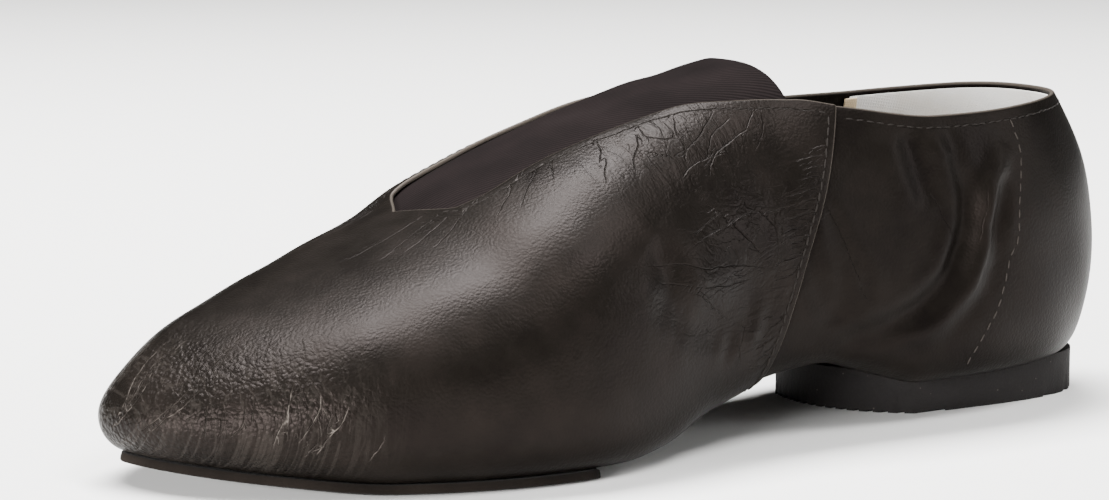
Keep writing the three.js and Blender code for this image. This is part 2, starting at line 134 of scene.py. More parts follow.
# Opening of the throat as a share of the collar's front, on the way to its rounded point.
THROAT = [
    Height(0, 1), Height(0.165, 0.86), Height(0.32, 0.68), Height(0.51, 0.585),
    Height(0.695, 0.51), Height(0.85, 0.485), Height(0.93, 0.42), Height(1, 0),
]

RIGHT_ANGLE = np.pi / 2
heel_pivot = HEEL_PIVOT_AT * LENGTH
toe_pivot = TOE_PIVOT_AT * LENGTH
seam_x = SEAM_AT * LENGTH
throat_x = THROAT_POINT_AT * LENGTH
gore_end_x = GORE_END_AT * LENGTH
lowest = FOREFOOT_SOLE_THICKNESS + GAP
heel_rise = HEEL_BLOCK_HEIGHT + GAP - lowest


def mix(a, b, share):
    return a + (b - a) * share


def ease(x, start, end):
    t = np.clip((x - start) / (end - start), 0, 1)
    return t * t * (3 - 2 * t)


def table_curve(rows, column):
    """Monotone cubic through a column of a table, read at a place along the length in mm."""
    at = np.array([row.at for row in rows], float)
    value = np.array([getattr(row, column) for row in rows], float)
    rise = np.diff(value) / np.diff(at)
    before = np.r_[rise[0], rise]
    after = np.r_[rise, rise[-1]]
    both = np.where(before * after > 0, before + after, 1)
    slope = np.where(before * after > 0, 2 * before * after / both, 0)

    def read(x):
        share = np.clip(np.asarray(x, float) / LENGTH, 0, 1)
        i = np.clip(np.searchsorted(at, share, side="left") - 1, 0, len(at) - 2)
        step = at[i + 1] - at[i]
        t = (share - at[i]) / step
        return (
            value[i] * (1 + 2 * t) * (1 - t) ** 2
            + slope[i] * step * t * (1 - t) ** 2
            + value[i + 1] * t * t * (3 - 2 * t)
            + slope[i + 1] * step * t * t * (t - 1)
        )

    return read


centre_share = table_curve(SECTIONS, "centre")
widest_share = table_curve(SECTIONS, "widest")
ridge_share = table_curve(SECTIONS, "ridge")
fullness = table_curve(SECTIONS, "fullness")
underside_share = table_curve(UNDERSIDE, "height")
medial_arch = table_curve(MEDIAL_ARCH, "height")
collar_z = table_curve(COLLAR, "height")
throat_opening = table_curve(THROAT, "height")


def quarter(angle, power, along_power=None):
    """Reach along and across of a superellipse's quarter."""
    along = np.maximum(np.sin(angle), 0) ** (2 / (along_power or power))
    return along, np.maximum(np.cos(angle), 0) ** (2 / power)


def underside_z(x, y):
    inward = ease(centre_share(x) * BALL_WIDTH - y, 0, WAIST_WIDTH / 2)
    lift = MEDIAL_ARCH_LIFT * medial_arch(x) * inward
    return lowest + heel_rise * underside_share(x) + lift


def plan_of_side(sign, tuck, station):
    """Outline of one side: tuck 0 is the widest line and 1 the line where it meets the sole."""
    heel, waist, ball = [
        (row.at * LENGTH, sign * row.width * (row.side - tuck * row.tuck)) for row in PLAN[sign]
    ]
    across, along = quarter(np.clip(station, 0, 1) * RIGHT_ANGLE, HEEL_ROUNDNESS)
    x = mix(heel_pivot, toe_pivot, station - 1)
    rear = x < waist[0]
    start_y = np.where(rear, heel[1], waist[1])
    end_y = np.where(rear, waist[1], ball[1])
    start_x = np.where(rear, heel[0], waist[0])
    end_x = np.where(rear, waist[0], ball[0])
    middle_y = mix(start_y, end_y, ease(x, start_x, end_x))
    reach = LENGTH - tuck * TOE_TUCK - ball[0]
    begin = np.arcsin((toe_pivot - ball[0]) / reach)
    turned = np.arcsin(np.clip((x - ball[0]) / reach, 0, 1))
    angle = np.where(station < 2, turned, mix(begin, RIGHT_ANGLE, np.clip(station - 2, 0, 1)))
    power = TOE_ROUNDNESS[sign] - tuck * SOLE_LINE_POINTEDNESS
    toe_along, toe_across = quarter(angle, power, 2)
    toe_x = ball[0] + reach * toe_along
    toe_y = mix(-TOE_TIP_INSET * BALL_WIDTH, ball[1], toe_across)
    heel_x = heel[0] - (heel[0] - tuck * HEEL_TUCK) * along
    out_x = np.where(station < 1, heel_x, np.where(x < ball[0], x, toe_x))
    out_y = np.where(station < 1, heel[1] * across, np.where(x < ball[0], middle_y, toe_y))
    return out_x, out_y


def plan(side, tuck, station):
    outer = plan_of_side(1, tuck, station)
    inner = plan_of_side(-1, tuck, station)
    return np.where(side > 0, outer[0], inner[0]), np.where(side > 0, outer[1], inner[1])


def spine(station):
    reach = np.sin(np.clip(station - 2, 0, 1) * RIGHT_ANGLE)
    x = mix(heel_pivot, toe_pivot, np.clip(station - 1, 0, 1))
    x = x + TOE_REACH * (LENGTH - toe_pivot) * reach
    return x, centre_share(x) * BALL_WIDTH


def last_point(side, station, level):
    """Place on the last. Station runs heel 0 to toe 3, level underside 0 to ridge 3."""
    side, station, level = np.broadcast_arrays(side, station, level)
    side = np.where(station < 0, -side, side)
    side = np.where(station > 3, -side, side)
    side = np.where(level < 0, -side, side)
    side = np.where(level > 3, -side, side)
    station = 3 - np.abs(3 - np.abs(station))
    level = 3 - np.abs(3 - np.abs(level))
    sx, sy = spine(station)
    lx, ly = plan(side, 1, station)
    wx, wy = plan(side, 0, station)
    wide_z = widest_share(wx) * INSTEP_HEIGHT
    power = fullness(wx)
    share = np.clip(level, 0, 1)
    ux, uy = mix(sx, lx, share), mix(sy, ly, share)
    out, left = quarter(np.clip(level - 1, 0, 1) * RIGHT_ANGLE, power)
    tx, ty = mix(lx, wx, out), mix(ly, wy, out)
    tz = mix(wide_z, underside_z(lx, ly), left)
    up, wide = quarter(np.clip(level - 2, 0, 1) * RIGHT_ANGLE, power)
    ax, ay = mix(sx, wx, wide), mix(sy, wy, wide)
    az = mix(wide_z, ridge_share(ax) * INSTEP_HEIGHT, up)
    under, tuck = level <= 1, level <= 2
    x = np.where(under, ux, np.where(tuck, tx, ax))
    y = np.where(under, uy, np.where(tuck, ty, ay))
    z = np.where(under, underside_z(ux, uy), np.where(tuck, tz, az))
    return np.stack([x, y, z], -1)


def last_normal(side, station, level, step=1e-3):
    """Outward normal of the last. Ridge and underside have one normal for both sides."""
    side, station, level = np.broadcast_arrays(side, station, level)
    along = last_point(side, station + step, level) - last_point(side, station - step, level)
    up = last_point(side, station, level + step) - last_point(side, station, level - step)
    normal = np.cross(up, along) * side[..., None]
    size = np.linalg.norm(normal, axis=-1, keepdims=True)
    normal = normal / np.maximum(size, 1e-12)
    x, _ = spine(station)
    for share, height, up, here in (
        (ridge_share, INSTEP_HEIGHT, 1, level >= 3), (underside_share, heel_rise, -1, level <= 0)
    ):
        slope = (share(x + step) - share(x - step)) * height / (2 * step)
        middle = np.stack([-up * slope, np.zeros_like(x), np.full(x.shape, up)], -1)
        middle = middle / np.linalg.norm(middle, axis=-1, keepdims=True)
        normal = np.where(here[..., None], middle, normal)
    return normal


def station_of(x):
    return 1 + (x - heel_pivot) / (toe_pivot - heel_pivot)


def lean(side, station, level_at, passes=6):
    """Stations that slide forward with the leaning side seams, and their levels."""
    station = np.asarray(station, float)
    fade = ease(station, 1, station_of(seam_x)) * (1 - ease(station, station_of(gore_end_x), 2))
    slid = station + 0.0
    level = level_at(slid)
    for _ in range(passes):
        drop = np.maximum(COLLAR_FRONT_HEIGHT - last_point(side, slid, level)[..., 2], 0)
        slid = station + SEAM_LEAN * fade * drop / (toe_pivot - heel_pivot)
        level = level_at(slid)
    return slid, level


def level_at_height(side, station, height, halvings=22):
    low = np.full(np.shape(station), 2.0)
    high = np.full(np.shape(station), 3.0)
    for _ in range(halvings):
        middle = (low + high) / 2
        below = last_point(side, station, middle)[..., 2] < height
        low = np.where(below, middle, low)
        high = np.where(below, high, middle)
    return low


def level_at_share(side, station, share):
    power = fullness(plan(side, 0, station)[0])
    return 2 + np.arccos(np.clip(share, 0, 1) ** (power / 2)) / RIGHT_ANGLE


def half_width(side, station):
    return np.abs(plan(side, 0, station)[1] - spine(station)[1])


def share_at_level(side, station, level):
    away = np.abs(last_point(side, station, level)[..., 1] - spine(station)[1])
    return away / half_width(side, station)


def throat_share(side, station):
    start = station_of(gore_end_x)
    begin = np.full(np.shape(station), start)
    front = share_at_level(side, begin, level_at_height(side, begin, COLLAR_FRONT_HEIGHT))
    along = (station - start) / (station_of(throat_x) - start)
    return front * throat_opening(np.clip(along, 0, 1) * LENGTH)


def exact_edge_level(side, station):
    collar = level_at_height(side, station, collar_z(plan(side, 0, station)[0]))
    throat = level_at_share(side, station, throat_share(side, station))
    level = np.where(station > station_of(gore_end_x), throat, collar)
    return np.where(station >= station_of(throat_x), 3.0, level)


def opening_level(station):
    """Level at which the underside's leather stops, 0 where it closes over the waist."""
    x = spine(station)[0] / LENGTH
    behind = (x - HEEL_PIVOT_AT) / (HEEL_OPENING_END - HEEL_PIVOT_AT)
    ahead = 1 - (x - FOREFOOT_OPENING_START) / FOREFOOT_OPENING_ROUND
    return LASTING_EDGE * np.sqrt(1 - np.clip(np.minimum(behind, ahead), 0, 1) ** 2)


# The maker's frame stands at the back of the heel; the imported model's is under its middle.
upper_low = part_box("upper")[0]
INNER_REACH = PLAN[-1][2].side * BALL_WIDTH
HEEL_BACK = np.array([upper_low.x / MM, upper_low.y / MM + INNER_REACH, 0])

LEATHER = 1.1
LINING = 0.4
SEAM_LAP = 0.8
WALL = 1.5
INSOLE_THICKNESS = 1.8
GORE_THICKNESS = 1.1
BACKSTAY_THICKNESS = 0.9
BACKSTAY_WIDTH = 11
UNDER_WALL = -WALL - GAP
FINE = 1.0
COARSE = 2.5

# The top edge's level is read from a fine table of itself, because the walls ask for it often.
edge_places = np.unique(
    np.concatenate([
        np.linspace(0, 3, 3000),
        station_of(throat_x - np.linspace(0, 6, 200)),
        [station_of(gore_end_x)],
    ])
)
edge_table = {side: exact_edge_level(side, edge_places) for side in SIDES}


def edge_level(side, station):
    return np.interp(station, edge_places, edge_table[side])


# Folds of the worn leather. Each runs through (station, level) places on its side;
# depth is in mm, negative for a ridge, and width is its half width in mm.
Fold = namedtuple("Fold", "path depth width")
QUARTER_FOLDS = [
    Fold([(1.125, 2.33), (1.115, 2.23), (1.09, 2.12)], 1.0, 3.0),
    Fold([(1.085, 2.31), (1.055, 2.20), (1.03, 2.10)], -0.75, 2.3),
    Fold([(1.06, 2.25), (1.03, 2.15), (1.02, 2.09), (1.04, 2.03), (1.06, 1.98), (1.13, 1.83),
          (1.19, 1.70), (1.25, 1.58)], 1.5, 2.8),
    Fold([(0.91, 2.28), (0.96, 2.18), (1.0, 2.09), (1.0, 2.04), (1.04, 1.95), (1.09, 1.8)], -1.4, 3.0),
    Fold([(0.93, 2.20), (0.95, 2.12), (0.98, 2.02)], 0.8, 2.2),
    Fold([(1.28, 2.17), (1.26, 2.11), (1.24, 2.05), (1.21, 2.00), (1.20, 1.93)], 0.5, 1.6),
    Fold([(1.295, 2.12), (1.28, 2.04), (1.25, 1.96)], -0.5, 1.7),
    Fold([(1.21, 1.66), (1.14, 1.72), (1.05, 1.79)], -0.4, 3.2),
    Fold([(1.19, 1.6), (1.1, 1.62)], 0.5, 2.4),
    Fold([(1.28, 2.02), (1.26, 1.93), (1.26, 1.76)], 0.6, 4.0),
]
VAMP_FOLDS = [
    Fold([(1.61, 2.28), (1.585, 2.2), (1.58, 2.12), (1.60, 2.04)], 0.75, 4.2),
    Fold([(1.58, 2.06), (1.52, 2.02), (1.45, 1.98)], 0.8, 4.0),
    Fold([(1.58, 2.13), (1.47, 2.13), (1.34, 2.12)], -0.9, 8.0),
    Fold([(1.40, 2.02), (1.41, 1.92), (1.425, 1.82)], -0.4, 1.6),
    Fold([(1.45, 2.0), (1.46, 1.9), (1.48, 1.78)], 0.4, 1.6),
]
SHARED_FOLDS = {"quarter": QUARTER_FOLDS, "vamp": VAMP_FOLDS, "lining": QUARTER_FOLDS + VAMP_FOLDS}

# Thin creases, drawn on the leather as lines: depth in mm, how pale the cracked finish is in them,
# and the side they are on, or 0 for both.
Crease = namedtuple("Crease", "path depth pale side", defaults=[0, 0])
SEAM_CREASES = [
    Crease([(1.49, 2.31), (1.48, 2.29), (1.45, 2.21), (1.42, 2.14), (1.40, 2.10)], 0.34),
    Crease([(1.42, 2.26), (1.42, 2.24), (1.40, 2.21), (1.38, 2.17), (1.37, 2.14), (1.37, 2.08)], 0.34),
    Crease([(1.31, 2.18), (1.36, 2.19), (1.39, 2.20), (1.42, 2.22), (1.48, 2.22), (1.54, 2.21)], 0.28),
    Crease([(1.62, 2.23), (1.56, 2.18), (1.52, 2.14), (1.46, 2.11), (1.38, 2.06)], 0.24),
    Crease([(1.60, 2.16), (1.53, 2.10), (1.47, 2.07), (1.40, 2.05)], 0.2),
    Crease([(1.56, 2.11), (1.53, 2.08), (1.50, 2.04), (1.46, 2.00)], 0.22),
    Crease([(1.43, 1.98), (1.44, 1.86), (1.44, 1.74)], 0.5),
    Crease([(1.53, 2.24), (1.50, 2.25), (1.46, 2.27)], 0.18),
]
THROAT_CREASES = [
    Crease([(1.80, 2.91), (1.86, 2.89), (1.94, 2.86)], 0.16),
    Crease([(1.79, 2.87), (1.84, 2.85), (1.91, 2.78)], 0.2),
    Crease([(1.76, 2.83), (1.80, 2.79), (1.85, 2.73)], 0.22),
    Crease([(1.77, 2.86), (1.81, 2.83), (1.88, 2.77)], 0.14),
    Crease([(1.70, 2.82), (1.74, 2.75), (1.77, 2.70)], 0.2),
    Crease([(1.67, 2.80), (1.71, 2.74), (1.74, 2.68)], 0.22),
    Crease([(1.66, 2.78), (1.68, 2.71)], 0.18),
    Crease([(1.59, 2.77), (1.60, 2.71), (1.62, 2.66)], 0.2),
    Crease([(1.54, 2.70), (1.55, 2.65), (1.57, 2.61), (1.58, 2.55)], 0.34),
    Crease([(1.53, 2.72), (1.53, 2.66), (1.51, 2.61), (1.48, 2.59)], 0.3),
    Crease([(1.475, 2.69), (1.49, 2.61), (1.49, 2.54), (1.50, 2.49)], 0.36),
    Crease([(1.42, 2.62), (1.44, 2.58), (1.46, 2.55), (1.49, 2.53), (1.52, 2.54), (1.55, 2.58)], 0.34),
    Crease([(1.40, 2.56), (1.44, 2.53), (1.46, 2.46), (1.46, 2.41)], 0.34),
    Crease([(1.38, 2.49), (1.44, 2.46), (1.46, 2.43), (1.47, 2.39)], 0.3),
    Crease([(1.43, 2.44), (1.48, 2.46), (1.52, 2.44)], 0.26),
    Crease([(1.55, 2.61), (1.52, 2.54), (1.50, 2.51)], 0.26),
    Crease([(1.36, 2.55), (1.38, 2.50), (1.39, 2.45)], 0.22),
    Crease([(1.35, 2.53), (1.36, 2.46), (1.38, 2.40)], 0.2),
    Crease([(1.60, 2.68), (1.62, 2.62), (1.63, 2.57)], 0.2),
]
TOE_CREASES = [
    Crease([(2.80, 2.76), (2.86, 2.64), (2.87, 2.48), (2.85, 2.32), (2.87, 2.10), (2.90, 1.90)], 0.4, 0.28),
    Crease([(2.64, 2.72), (2.72, 2.62), (2.77, 2.51), (2.77, 2.39), (2.82, 2.15), (2.89, 1.92)], 0.45, 0.3),
    Crease([(2.69, 2.70), (2.78, 2.60), (2.81, 2.46), (2.81, 2.34), (2.85, 2.14)], 0.3, 0.12),
    Crease([(2.52, 2.33), (2.60, 2.16), (2.64, 2.10), (2.70, 1.94)], 0.34, 0.2),
    Crease([(2.56, 2.34), (2.64, 2.18), (2.69, 2.06), (2.75, 1.95)], 0.24, 0.1),
    Crease([(2.49, 2.21), (2.50, 2.05), (2.50, 1.86)], 0.3, 0.05),
    Crease([(2.44, 2.18), (2.45, 2.0), (2.46, 1.9)], 0.2, 0.05),
    Crease([(2.37, 2.22), (2.38, 2.06), (2.42, 1.91)], 0.34, 0.07),
    Crease([(2.345, 2.26), (2.35, 2.15), (2.36, 2.05)], 0.3, 0.06),
    Crease([(2.225, 2.28), (2.25, 2.14), (2.26, 2.04), (2.26, 1.87)], 0.4, 0.4),
    Crease([(2.27, 2.06), (2.29, 1.91), (2.30, 1.76)], 0.34, 0.23),
    Crease([(2.165, 2.17), (2.17, 2.10), (2.20, 1.96), (2.23, 1.80)], 0.34, 0.3),
    Crease([(2.10, 2.06), (2.12, 1.97), (2.15, 1.86), (2.18, 1.67)], 0.4, 0.38),
    Crease([(2.145, 2.05), (2.155, 1.94), (2.155, 1.85)], 0.3, 0.25),
    Crease([(2.18, 1.80), (2.21, 1.66)], 0.3, 0.25),
    Crease([(2.01, 1.80), (2.04, 1.60)], 0.26, 0.17),
    Crease([(2.46, 2.68), (2.53, 2.55), (2.55, 2.42)], 0.22, 0.05),
    Crease([(2.35, 2.65), (2.44, 2.50), (2.49, 2.34)], 0.24, 0.05),
    Crease([(2.25, 2.56), (2.31, 2.43)], 0.18, 0.03),
    Crease([(2.40, 2.60), (2.50, 2.45), (2.54, 2.33)], 0.18, 0.04),
    Crease([(2.58, 2.66), (2.66, 2.52), (2.69, 2.40)], 0.22, 0.06),
]
QUARTER_CREASES = [
    Crease([(1.285, 2.18), (1.26, 2.11), (1.24, 2.05), (1.215, 1.98), (1.205, 1.92)], 0.34),
    Crease([(1.09, 2.16), (1.07, 2.10), (1.045, 2.04)], 0.2),
    Crease([(0.99, 2.17), (1.0, 2.10), (1.01, 2.05)], 0.2),
]
CREASES = {"quarter": QUARTER_CREASES, "vamp": SEAM_CREASES + THROAT_CREASES + TOE_CREASES}

# Puckers that the seam's thread draws into the vamp: levels from and to, their pitch in levels,
# their length in stations and their depth in mm.
Pucker = namedtuple("Pucker", "first last pitch length depth")
PUCKERS = [
    Pucker(2.03, 2.36, 0.031, 0.040, 0.34),
    Pucker(1.6, 2.0, 0.06, 0.035, 0.24),
]
PUCKER_FROM_SEAM = 2.4


def pucker_creases():
    """Short creases off the side seam, of uneven length and slant."""
    creases = []
    for row in PUCKERS:
        for i, level in enumerate(np.arange(row.first, row.last, row.pitch)):
            drop = COLLAR_FRONT_HEIGHT - last_point(1, station_of(seam_x), level)[2]
            start = station_of(seam_x + PUCKER_FROM_SEAM + SEAM_LEAN * drop)
            reach = row.length * (1 + 0.35 * math.sin(2.3 * i))
            end = (start + reach, level + 0.008 * math.sin(3.1 * i))
            creases.append(Crease([(start, level), end], row.depth))
    return creases


CREASES["vamp"] = CREASES["vamp"] + pucker_creases()


# Where the leather is crumpled more finely than its folds: places (station, level), radius in mm
# and strength. "edge" wrinkles run away from the throat's edge, "seam" ones away from the side
# seam, "cross" ones cross each other, and "crack" is the toe's broken grain.
Patch = namedtuple("Patch", "kind at radius strength")
PATCHES = [
    Patch("edge", (1.52, 2.60), 13, 0.8),
    Patch("edge", (1.42, 2.50), 12, 0.8),
    Patch("edge", (1.64, 2.70), 11, 0.4),
    Patch("edge", (1.80, 2.80), 10, 0.2),
    Patch("seam", (1.335, 2.18), 8, 0.9),
    Patch("seam", (1.36, 2.05), 8, 0.7),
    Patch("seam", (1.42, 1.85), 9, 0.9),
    Patch("cross", (1.42, 2.17), 12, 1.0),
    Patch("cross", (1.52, 2.10), 12, 0.9),
    Patch("cross", (1.48, 2.40), 12, 0.4),
    Patch("crack", (2.35, 2.02), 14, 1.0),
    Patch("crack", (2.18, 1.95), 13, 0.9),
    Patch("crack", (2.58, 2.05), 13, 1.0),
    Patch("crack", (2.82, 2.40), 14, 1.0),
    Patch("crack", (2.75, 2.0), 12, 0.9),
]


def patch_strength(points, kind, side_of):
    total = np.zeros(len(points))
    for patch in PATCHES:
        if patch.kind != kind:
            continue
        for side in SIDES:
            centre = last_point(side, *patch.at)
            away = np.linalg.norm(points - centre, axis=1) / patch.radius
            total += patch.strength * np.exp(-(away**2)) * (side_of * side >= 0)
    return np.clip(total, 0, 1)


def slack(points):
    """Slow swells of soft leather that holds nothing, in mm."""
    x, y, z = points.T
    swell = 0.22 * np.sin(x / 9.5 + z / 7) * np.sin(z / 9 - x / 21 + y / 17)
    swell += 0.16 * np.sin(x / 5.5 - z / 6.5 + 1.3) * np.sin(y / 8 + x / 13)
    return swell * ease(points[:, 2], 8, 22)


def smooth_path(path, steps=24):
    """Points of a smooth curve through a fold's places, so many to each stretch."""
    p = np.array(path, float)
    p = np.vstack([2 * p[0] - p[1], p, 2 * p[-1] - p[-2]])
    out = []
    for a, b, c, d in zip(p, p[1:], p[2:], p[3:]):
        t = np.linspace(0, 1, steps, endpoint=False)[:, None]
        square, cube = 2 * a - 5 * b + 4 * c - d, 3 * b - a - 3 * c + d
        out.append(0.5 * (2 * b + (c - a) * t + square * t**2 + cube * t**3))
    return np.vstack(out + [p[-2:-1]])


# The inner side's folds lie a little off the outer side's, in stations and levels.
INNER_SHIFT = [0.012, -0.01]


def by_fold(rows, points, side_of, reach):
    """For each row and side: the points near it, their gap to it, its line, the nearest place on
    it, and how far the row has faded there towards its ends."""
    for side in SIDES:
        for row in rows:
            own_side = getattr(row, "side", 0)
            if own_side == -side:
                continue
            path = smooth_path(row.path) + ([0, 0] if side > 0 or own_side else INNER_SHIFT)
            line = last_point(side, path[:, 0], path[:, 1])
            room = reach(row)
            near = ((points > line.min(0) - room) & (points < line.max(0) + room)).all(1)
            ids = np.nonzero(near & (side_of * side >= 0))[0]
            if not len(ids):
                continue
            gap = np.linalg.norm(points[ids, None] - line[None], axis=2)
            nearest = gap.argmin(1)
            along = nearest / (len(line) - 1)
            fade = np.clip(np.minimum(along, 1 - along) * 5, 0.0, 1) ** 0.7
            yield row, ids, gap[np.arange(len(ids)), nearest], line, nearest, fade


FOLD_REACH = 3.2
LIP_HEIGHT, LIP_PLACE, LIP_SPREAD = 0.35, 1.9, 0.7


def relief(points, region, side_of):
    """Height of the leather's folds over the last, in mm: a trough or ridge with lower lips."""
    height = np.zeros(len(points))
    near = by_fold(SHARED_FOLDS[region], points, side_of, lambda fold: FOLD_REACH * fold.width)
    for fold, ids, gap, _, _, fade in near:
        away = gap / fold.width
        lip = LIP_HEIGHT * np.exp(-((away - LIP_PLACE) ** 2) / LIP_SPREAD)
        height[ids] -= fold.depth * fade * (np.exp(-(away**2)) - lip)
    return height


CREASE_REACH = 1.3
NO_CREASE = (3.0, 0.0, 0.0)


def crease_lines(points, normal, region, side_of):
    """Signed distance in mm to the nearest crease, and how deep and how pale it is there."""
    distance, depth, pale = (np.full(len(points), value) for value in NO_CREASE)
    near = by_fold(CREASES[region], points, side_of, lambda crease: CREASE_REACH)
    for crease, ids, gap, line, nearest, fade in near:
        across = np.cross(normal[ids], np.gradient(line, axis=0)[nearest])
        sign = np.sign(((points[ids] - line[nearest]) * across).sum(1))
        closer = gap < np.abs(distance[ids])
        ids, near_by = ids[closer], np.clip((CREASE_REACH - gap[closer]) / 0.6, 0, 1) * fade[closer]
        distance[ids] = sign[closer] * gap[closer]
        depth[ids] = crease.depth * near_by
        pale[ids] = crease.pale * near_by
    return distance, depth, pale


def place(points):
    return (np.asarray(points) + HEEL_BACK) * MM


def new_mesh(name, points, polygons, material, attributes=None):
    mesh = bpy.data.meshes.new(name)
    mesh.from_pydata(np.asarray(points).tolist(), [], polygons)
    mesh.update()
    for key, values in (attributes or {}).items():
        kind = "FLOAT" if values.ndim == 1 else "FLOAT_VECTOR"
        layer = mesh.attributes.new(key, kind, "POINT")
        layer.data.foreach_set("value" if values.ndim == 1 else "vector", values.ravel())
    mesh.polygons.foreach_set("use_smooth", [True] * len(mesh.polygons))
    piece = bpy.data.objects.new(name, mesh)
    bpy.context.collection.objects.link(piece)
    mesh.materials.append(material)
    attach(piece, "root")
    return piece


Grid = namedtuple("Grid", "side station level high low")
RIM_STEPS = 5
# Share of painted highlight in the colour of the leather's rounded rim.
RIM_HIGHLIGHT = 0.28


def wall_faces(grids, ids):
    """Faces of the grids' cells, where corners that fall together have one number."""
    faces, start = [], 0
    for g in grids:
        cells = ids[start : start + g.station.size].reshape(g.station.shape)
        start += g.station.size
        quads = np.stack([cells[:-1, :-1], cells[1:, :-1], cells[1:, 1:], cells[:-1, 1:]], -1)
        quads = quads.reshape(-1, 4)[:, :: -g.side]
        for quad in quads.tolist():
            corners = [v for k, v in enumerate(quad) if v != quad[k - 1]]
            if len(set(corners)) == len(corners) > 2:
                faces.append(corners)
    return faces


def open_edges(faces):
    edges = dict.fromkeys((a, b) for face in faces for a, b in zip(face, face[1:] + face[:1]))
    return [(a, b) for a, b in edges if (b, a) not in edges]


def unit(vectors):
    return vectors / np.maximum(np.linalg.norm(vectors, axis=-1, keepdims=True), 1e-9)


def wall(name, grids, material, region=None, squareness=1.0):
    """A closed wall of leather or cloth over the last. Its rim is round, or squarer below 1."""
    side, station, level, high, low = (
        np.concatenate([np.broadcast_to(getattr(g, part), g.station.shape).ravel() for g in grids])
        for part in Grid._fields
    )
    on_both = (level <= 0) | (level >= 3) | (station <= 0) | (station >= 3)
    base = last_point(side, station, level)
    normal = last_normal(np.where(on_both, 1, side), station, level)
    _, first, ids = np.unique(np.round(base, 3), axis=0, return_index=True, return_inverse=True)
    base, normal, high, low = base[first], normal[first], high[first], low[first]
    side_of = np.where(on_both, 0, side)[first]
    raised = relief(base, region, side_of) + slack(base) if region else 0
    outer = base + normal * (high + raised)[:, None]
    inner = base + normal * (low + raised)[:, None]
    faces = wall_faces(grids, ids.ravel())
    rim = open_edges(faces)

    # The rim bulges away from the wall in rows between its two faces.
    out = np.zeros_like(base)
    for a, b in rim:
        way = unit(np.cross(outer[b] - outer[a], normal[a] + normal[b]))
        out[a] += way
        out[b] += way
    rim_ids = sorted({v for edge in rim for v in edge})
    row_of = {v: i for i, v in enumerate(rim_ids)}
    out = unit(out[rim_ids])
    middle, half = (outer + inner)[rim_ids] / 2, (outer - inner)[rim_ids] / 2
    size = np.linalg.norm(half, axis=1)[:, None]
    rows = []
    for turn in np.linspace(0, np.pi, RIM_STEPS + 2)[1:-1]:
        across = np.sign(np.cos(turn)) * abs(np.cos(turn)) ** squareness
        rows.append(middle + half * across + out * size * np.sin(turn) ** squareness)
    count = len(base)

    def vertex(v, step):
        if step == 0:
            return v
        return v + count if step > RIM_STEPS else 2 * count + (step - 1) * len(rim_ids) + row_of[v]

    polygons = faces + [[v + count for v in face[::-1]] for face in faces]
    for a, b in rim:
        for k in range(RIM_STEPS + 1):
            polygons.append([vertex(b, k), vertex(a, k), vertex(a, k + 1), vertex(b, k + 1)])
    points = np.vstack([outer, inner, *rows])

    weave = np.stack([base[:, 0], arc_from_ridge(base), np.zeros(count)], -1)
    # The rim's rows carry the painted highlight's share, which the leather mixes into its colour.
    attributes = {
        "rim_highlight": np.r_[np.zeros(2 * count), np.full(len(rim_ids) * RIM_STEPS, RIM_HIGHLIGHT)],
        "weave": np.vstack([weave, weave] + [weave[rim_ids]] * RIM_STEPS),
    }
    if region in CREASES:
        drawn = {kind: (patch_strength(base, kind, side_of), 0.0) for kind in WRINKLES}
        found = zip(crease_lines(base, normal, region, side_of), NO_CREASE)
        drawn.update(zip(("crease_gap", "crease_depth", "crease_pale"), found))
        for kind, (values, elsewhere) in drawn.items():
            attributes[kind] = np.r_[values, np.full(len(points) - count, elsewhere)]
    return new_mesh(name, place(points), polygons, material, attributes)


def arc_from_ridge(base):
    """Rough distance down the side from the ridge, in mm, for laying a weave."""
    centre = centre_share(base[:, 0]) * BALL_WIDTH
    ridge = ridge_share(base[:, 0]) * INSTEP_HEIGHT
    return np.sign(base[:, 1] - centre) * np.hypot(base[:, 1] - centre, ridge - base[:, 2])


def column_levels(side, station, row, counts):
    """Level of one row at leaning stations."""
    under, tuck, arch = counts
    if row < under:
        opening = opening_level(station)
        return opening + (1 - opening) * row / under
    if row < under + tuck:
        return np.full(np.shape(station), 1 + (row - under) / tuck)
    return 2 + (edge_level(side, station) - 2) * (row - under - tuck) / arch


def stacked(rows):
    """Stations and levels of rows that are (stations, levels), as two arrays."""
    return (np.stack(part, 1) for part in zip(*rows))


def profile_grid(side, stations, counts, high, low):
    """Stations by rows from the underside's opening to the top edge, leaning with the side seams."""
    rows = range(sum(counts) + 1)
    slid, level = stacked(
        lean(side, stations, lambda s: column_levels(side, s, row, counts)) for row in rows
    )
    straight = mix(heel_pivot, toe_pivot, stations - 1)[:, None]
    return Grid(side, slid, level, high(straight), low(straight))


# Rough length in mm of the heel's and the toe's stations.
HEEL_ROUND = 78
TOE_ROUND = 66
LEAST_STEP = 0.002


def spaced(start, end, step_mm, extra=()):
    """Stations about step_mm apart between two stations, with extra ones kept."""
    out = [start, *extra, end]
    for a, length in enumerate((HEEL_ROUND, toe_pivot - heel_pivot, TOE_ROUND)):
        lo, hi = max(a, start), min(a + 1, end)
        if hi > lo:
            count = max(int(round((hi - lo) * length / step_mm)), 1)
            out += np.linspace(lo, hi, count + 1).tolist()
    out = sorted(set(round(s, 6) for s in out))
    kept = [out[0]]
    fixed = {round(s, 6) for s in (start, end, *extra)}
    for s in out[1:]:
        if s - kept[-1] > LEAST_STEP * step_mm:
            kept.append(s)
        elif s in fixed:
            if kept[-1] not in fixed:
                kept.pop()
            kept.append(s)
    return np.array(kept)


# Materials. Colours are sRGB hex, and pattern scales come from real sizes in millimetres.
def colour(code):
    channels = [int(code[i : i + 2], 16) / 255 for i in (1, 3, 5)]
    linear = [c / 12.92 if c <= 0.04045 else ((c + 0.055) / 1.055) ** 2.4 for c in channels]
    return (*linear, 1)


def per_mm(size):
    """Pattern scale, in repeats per metre, of a pattern with this size in mm."""
    return 1 / (size * MM)


WAVE_PERIOD = 0.314


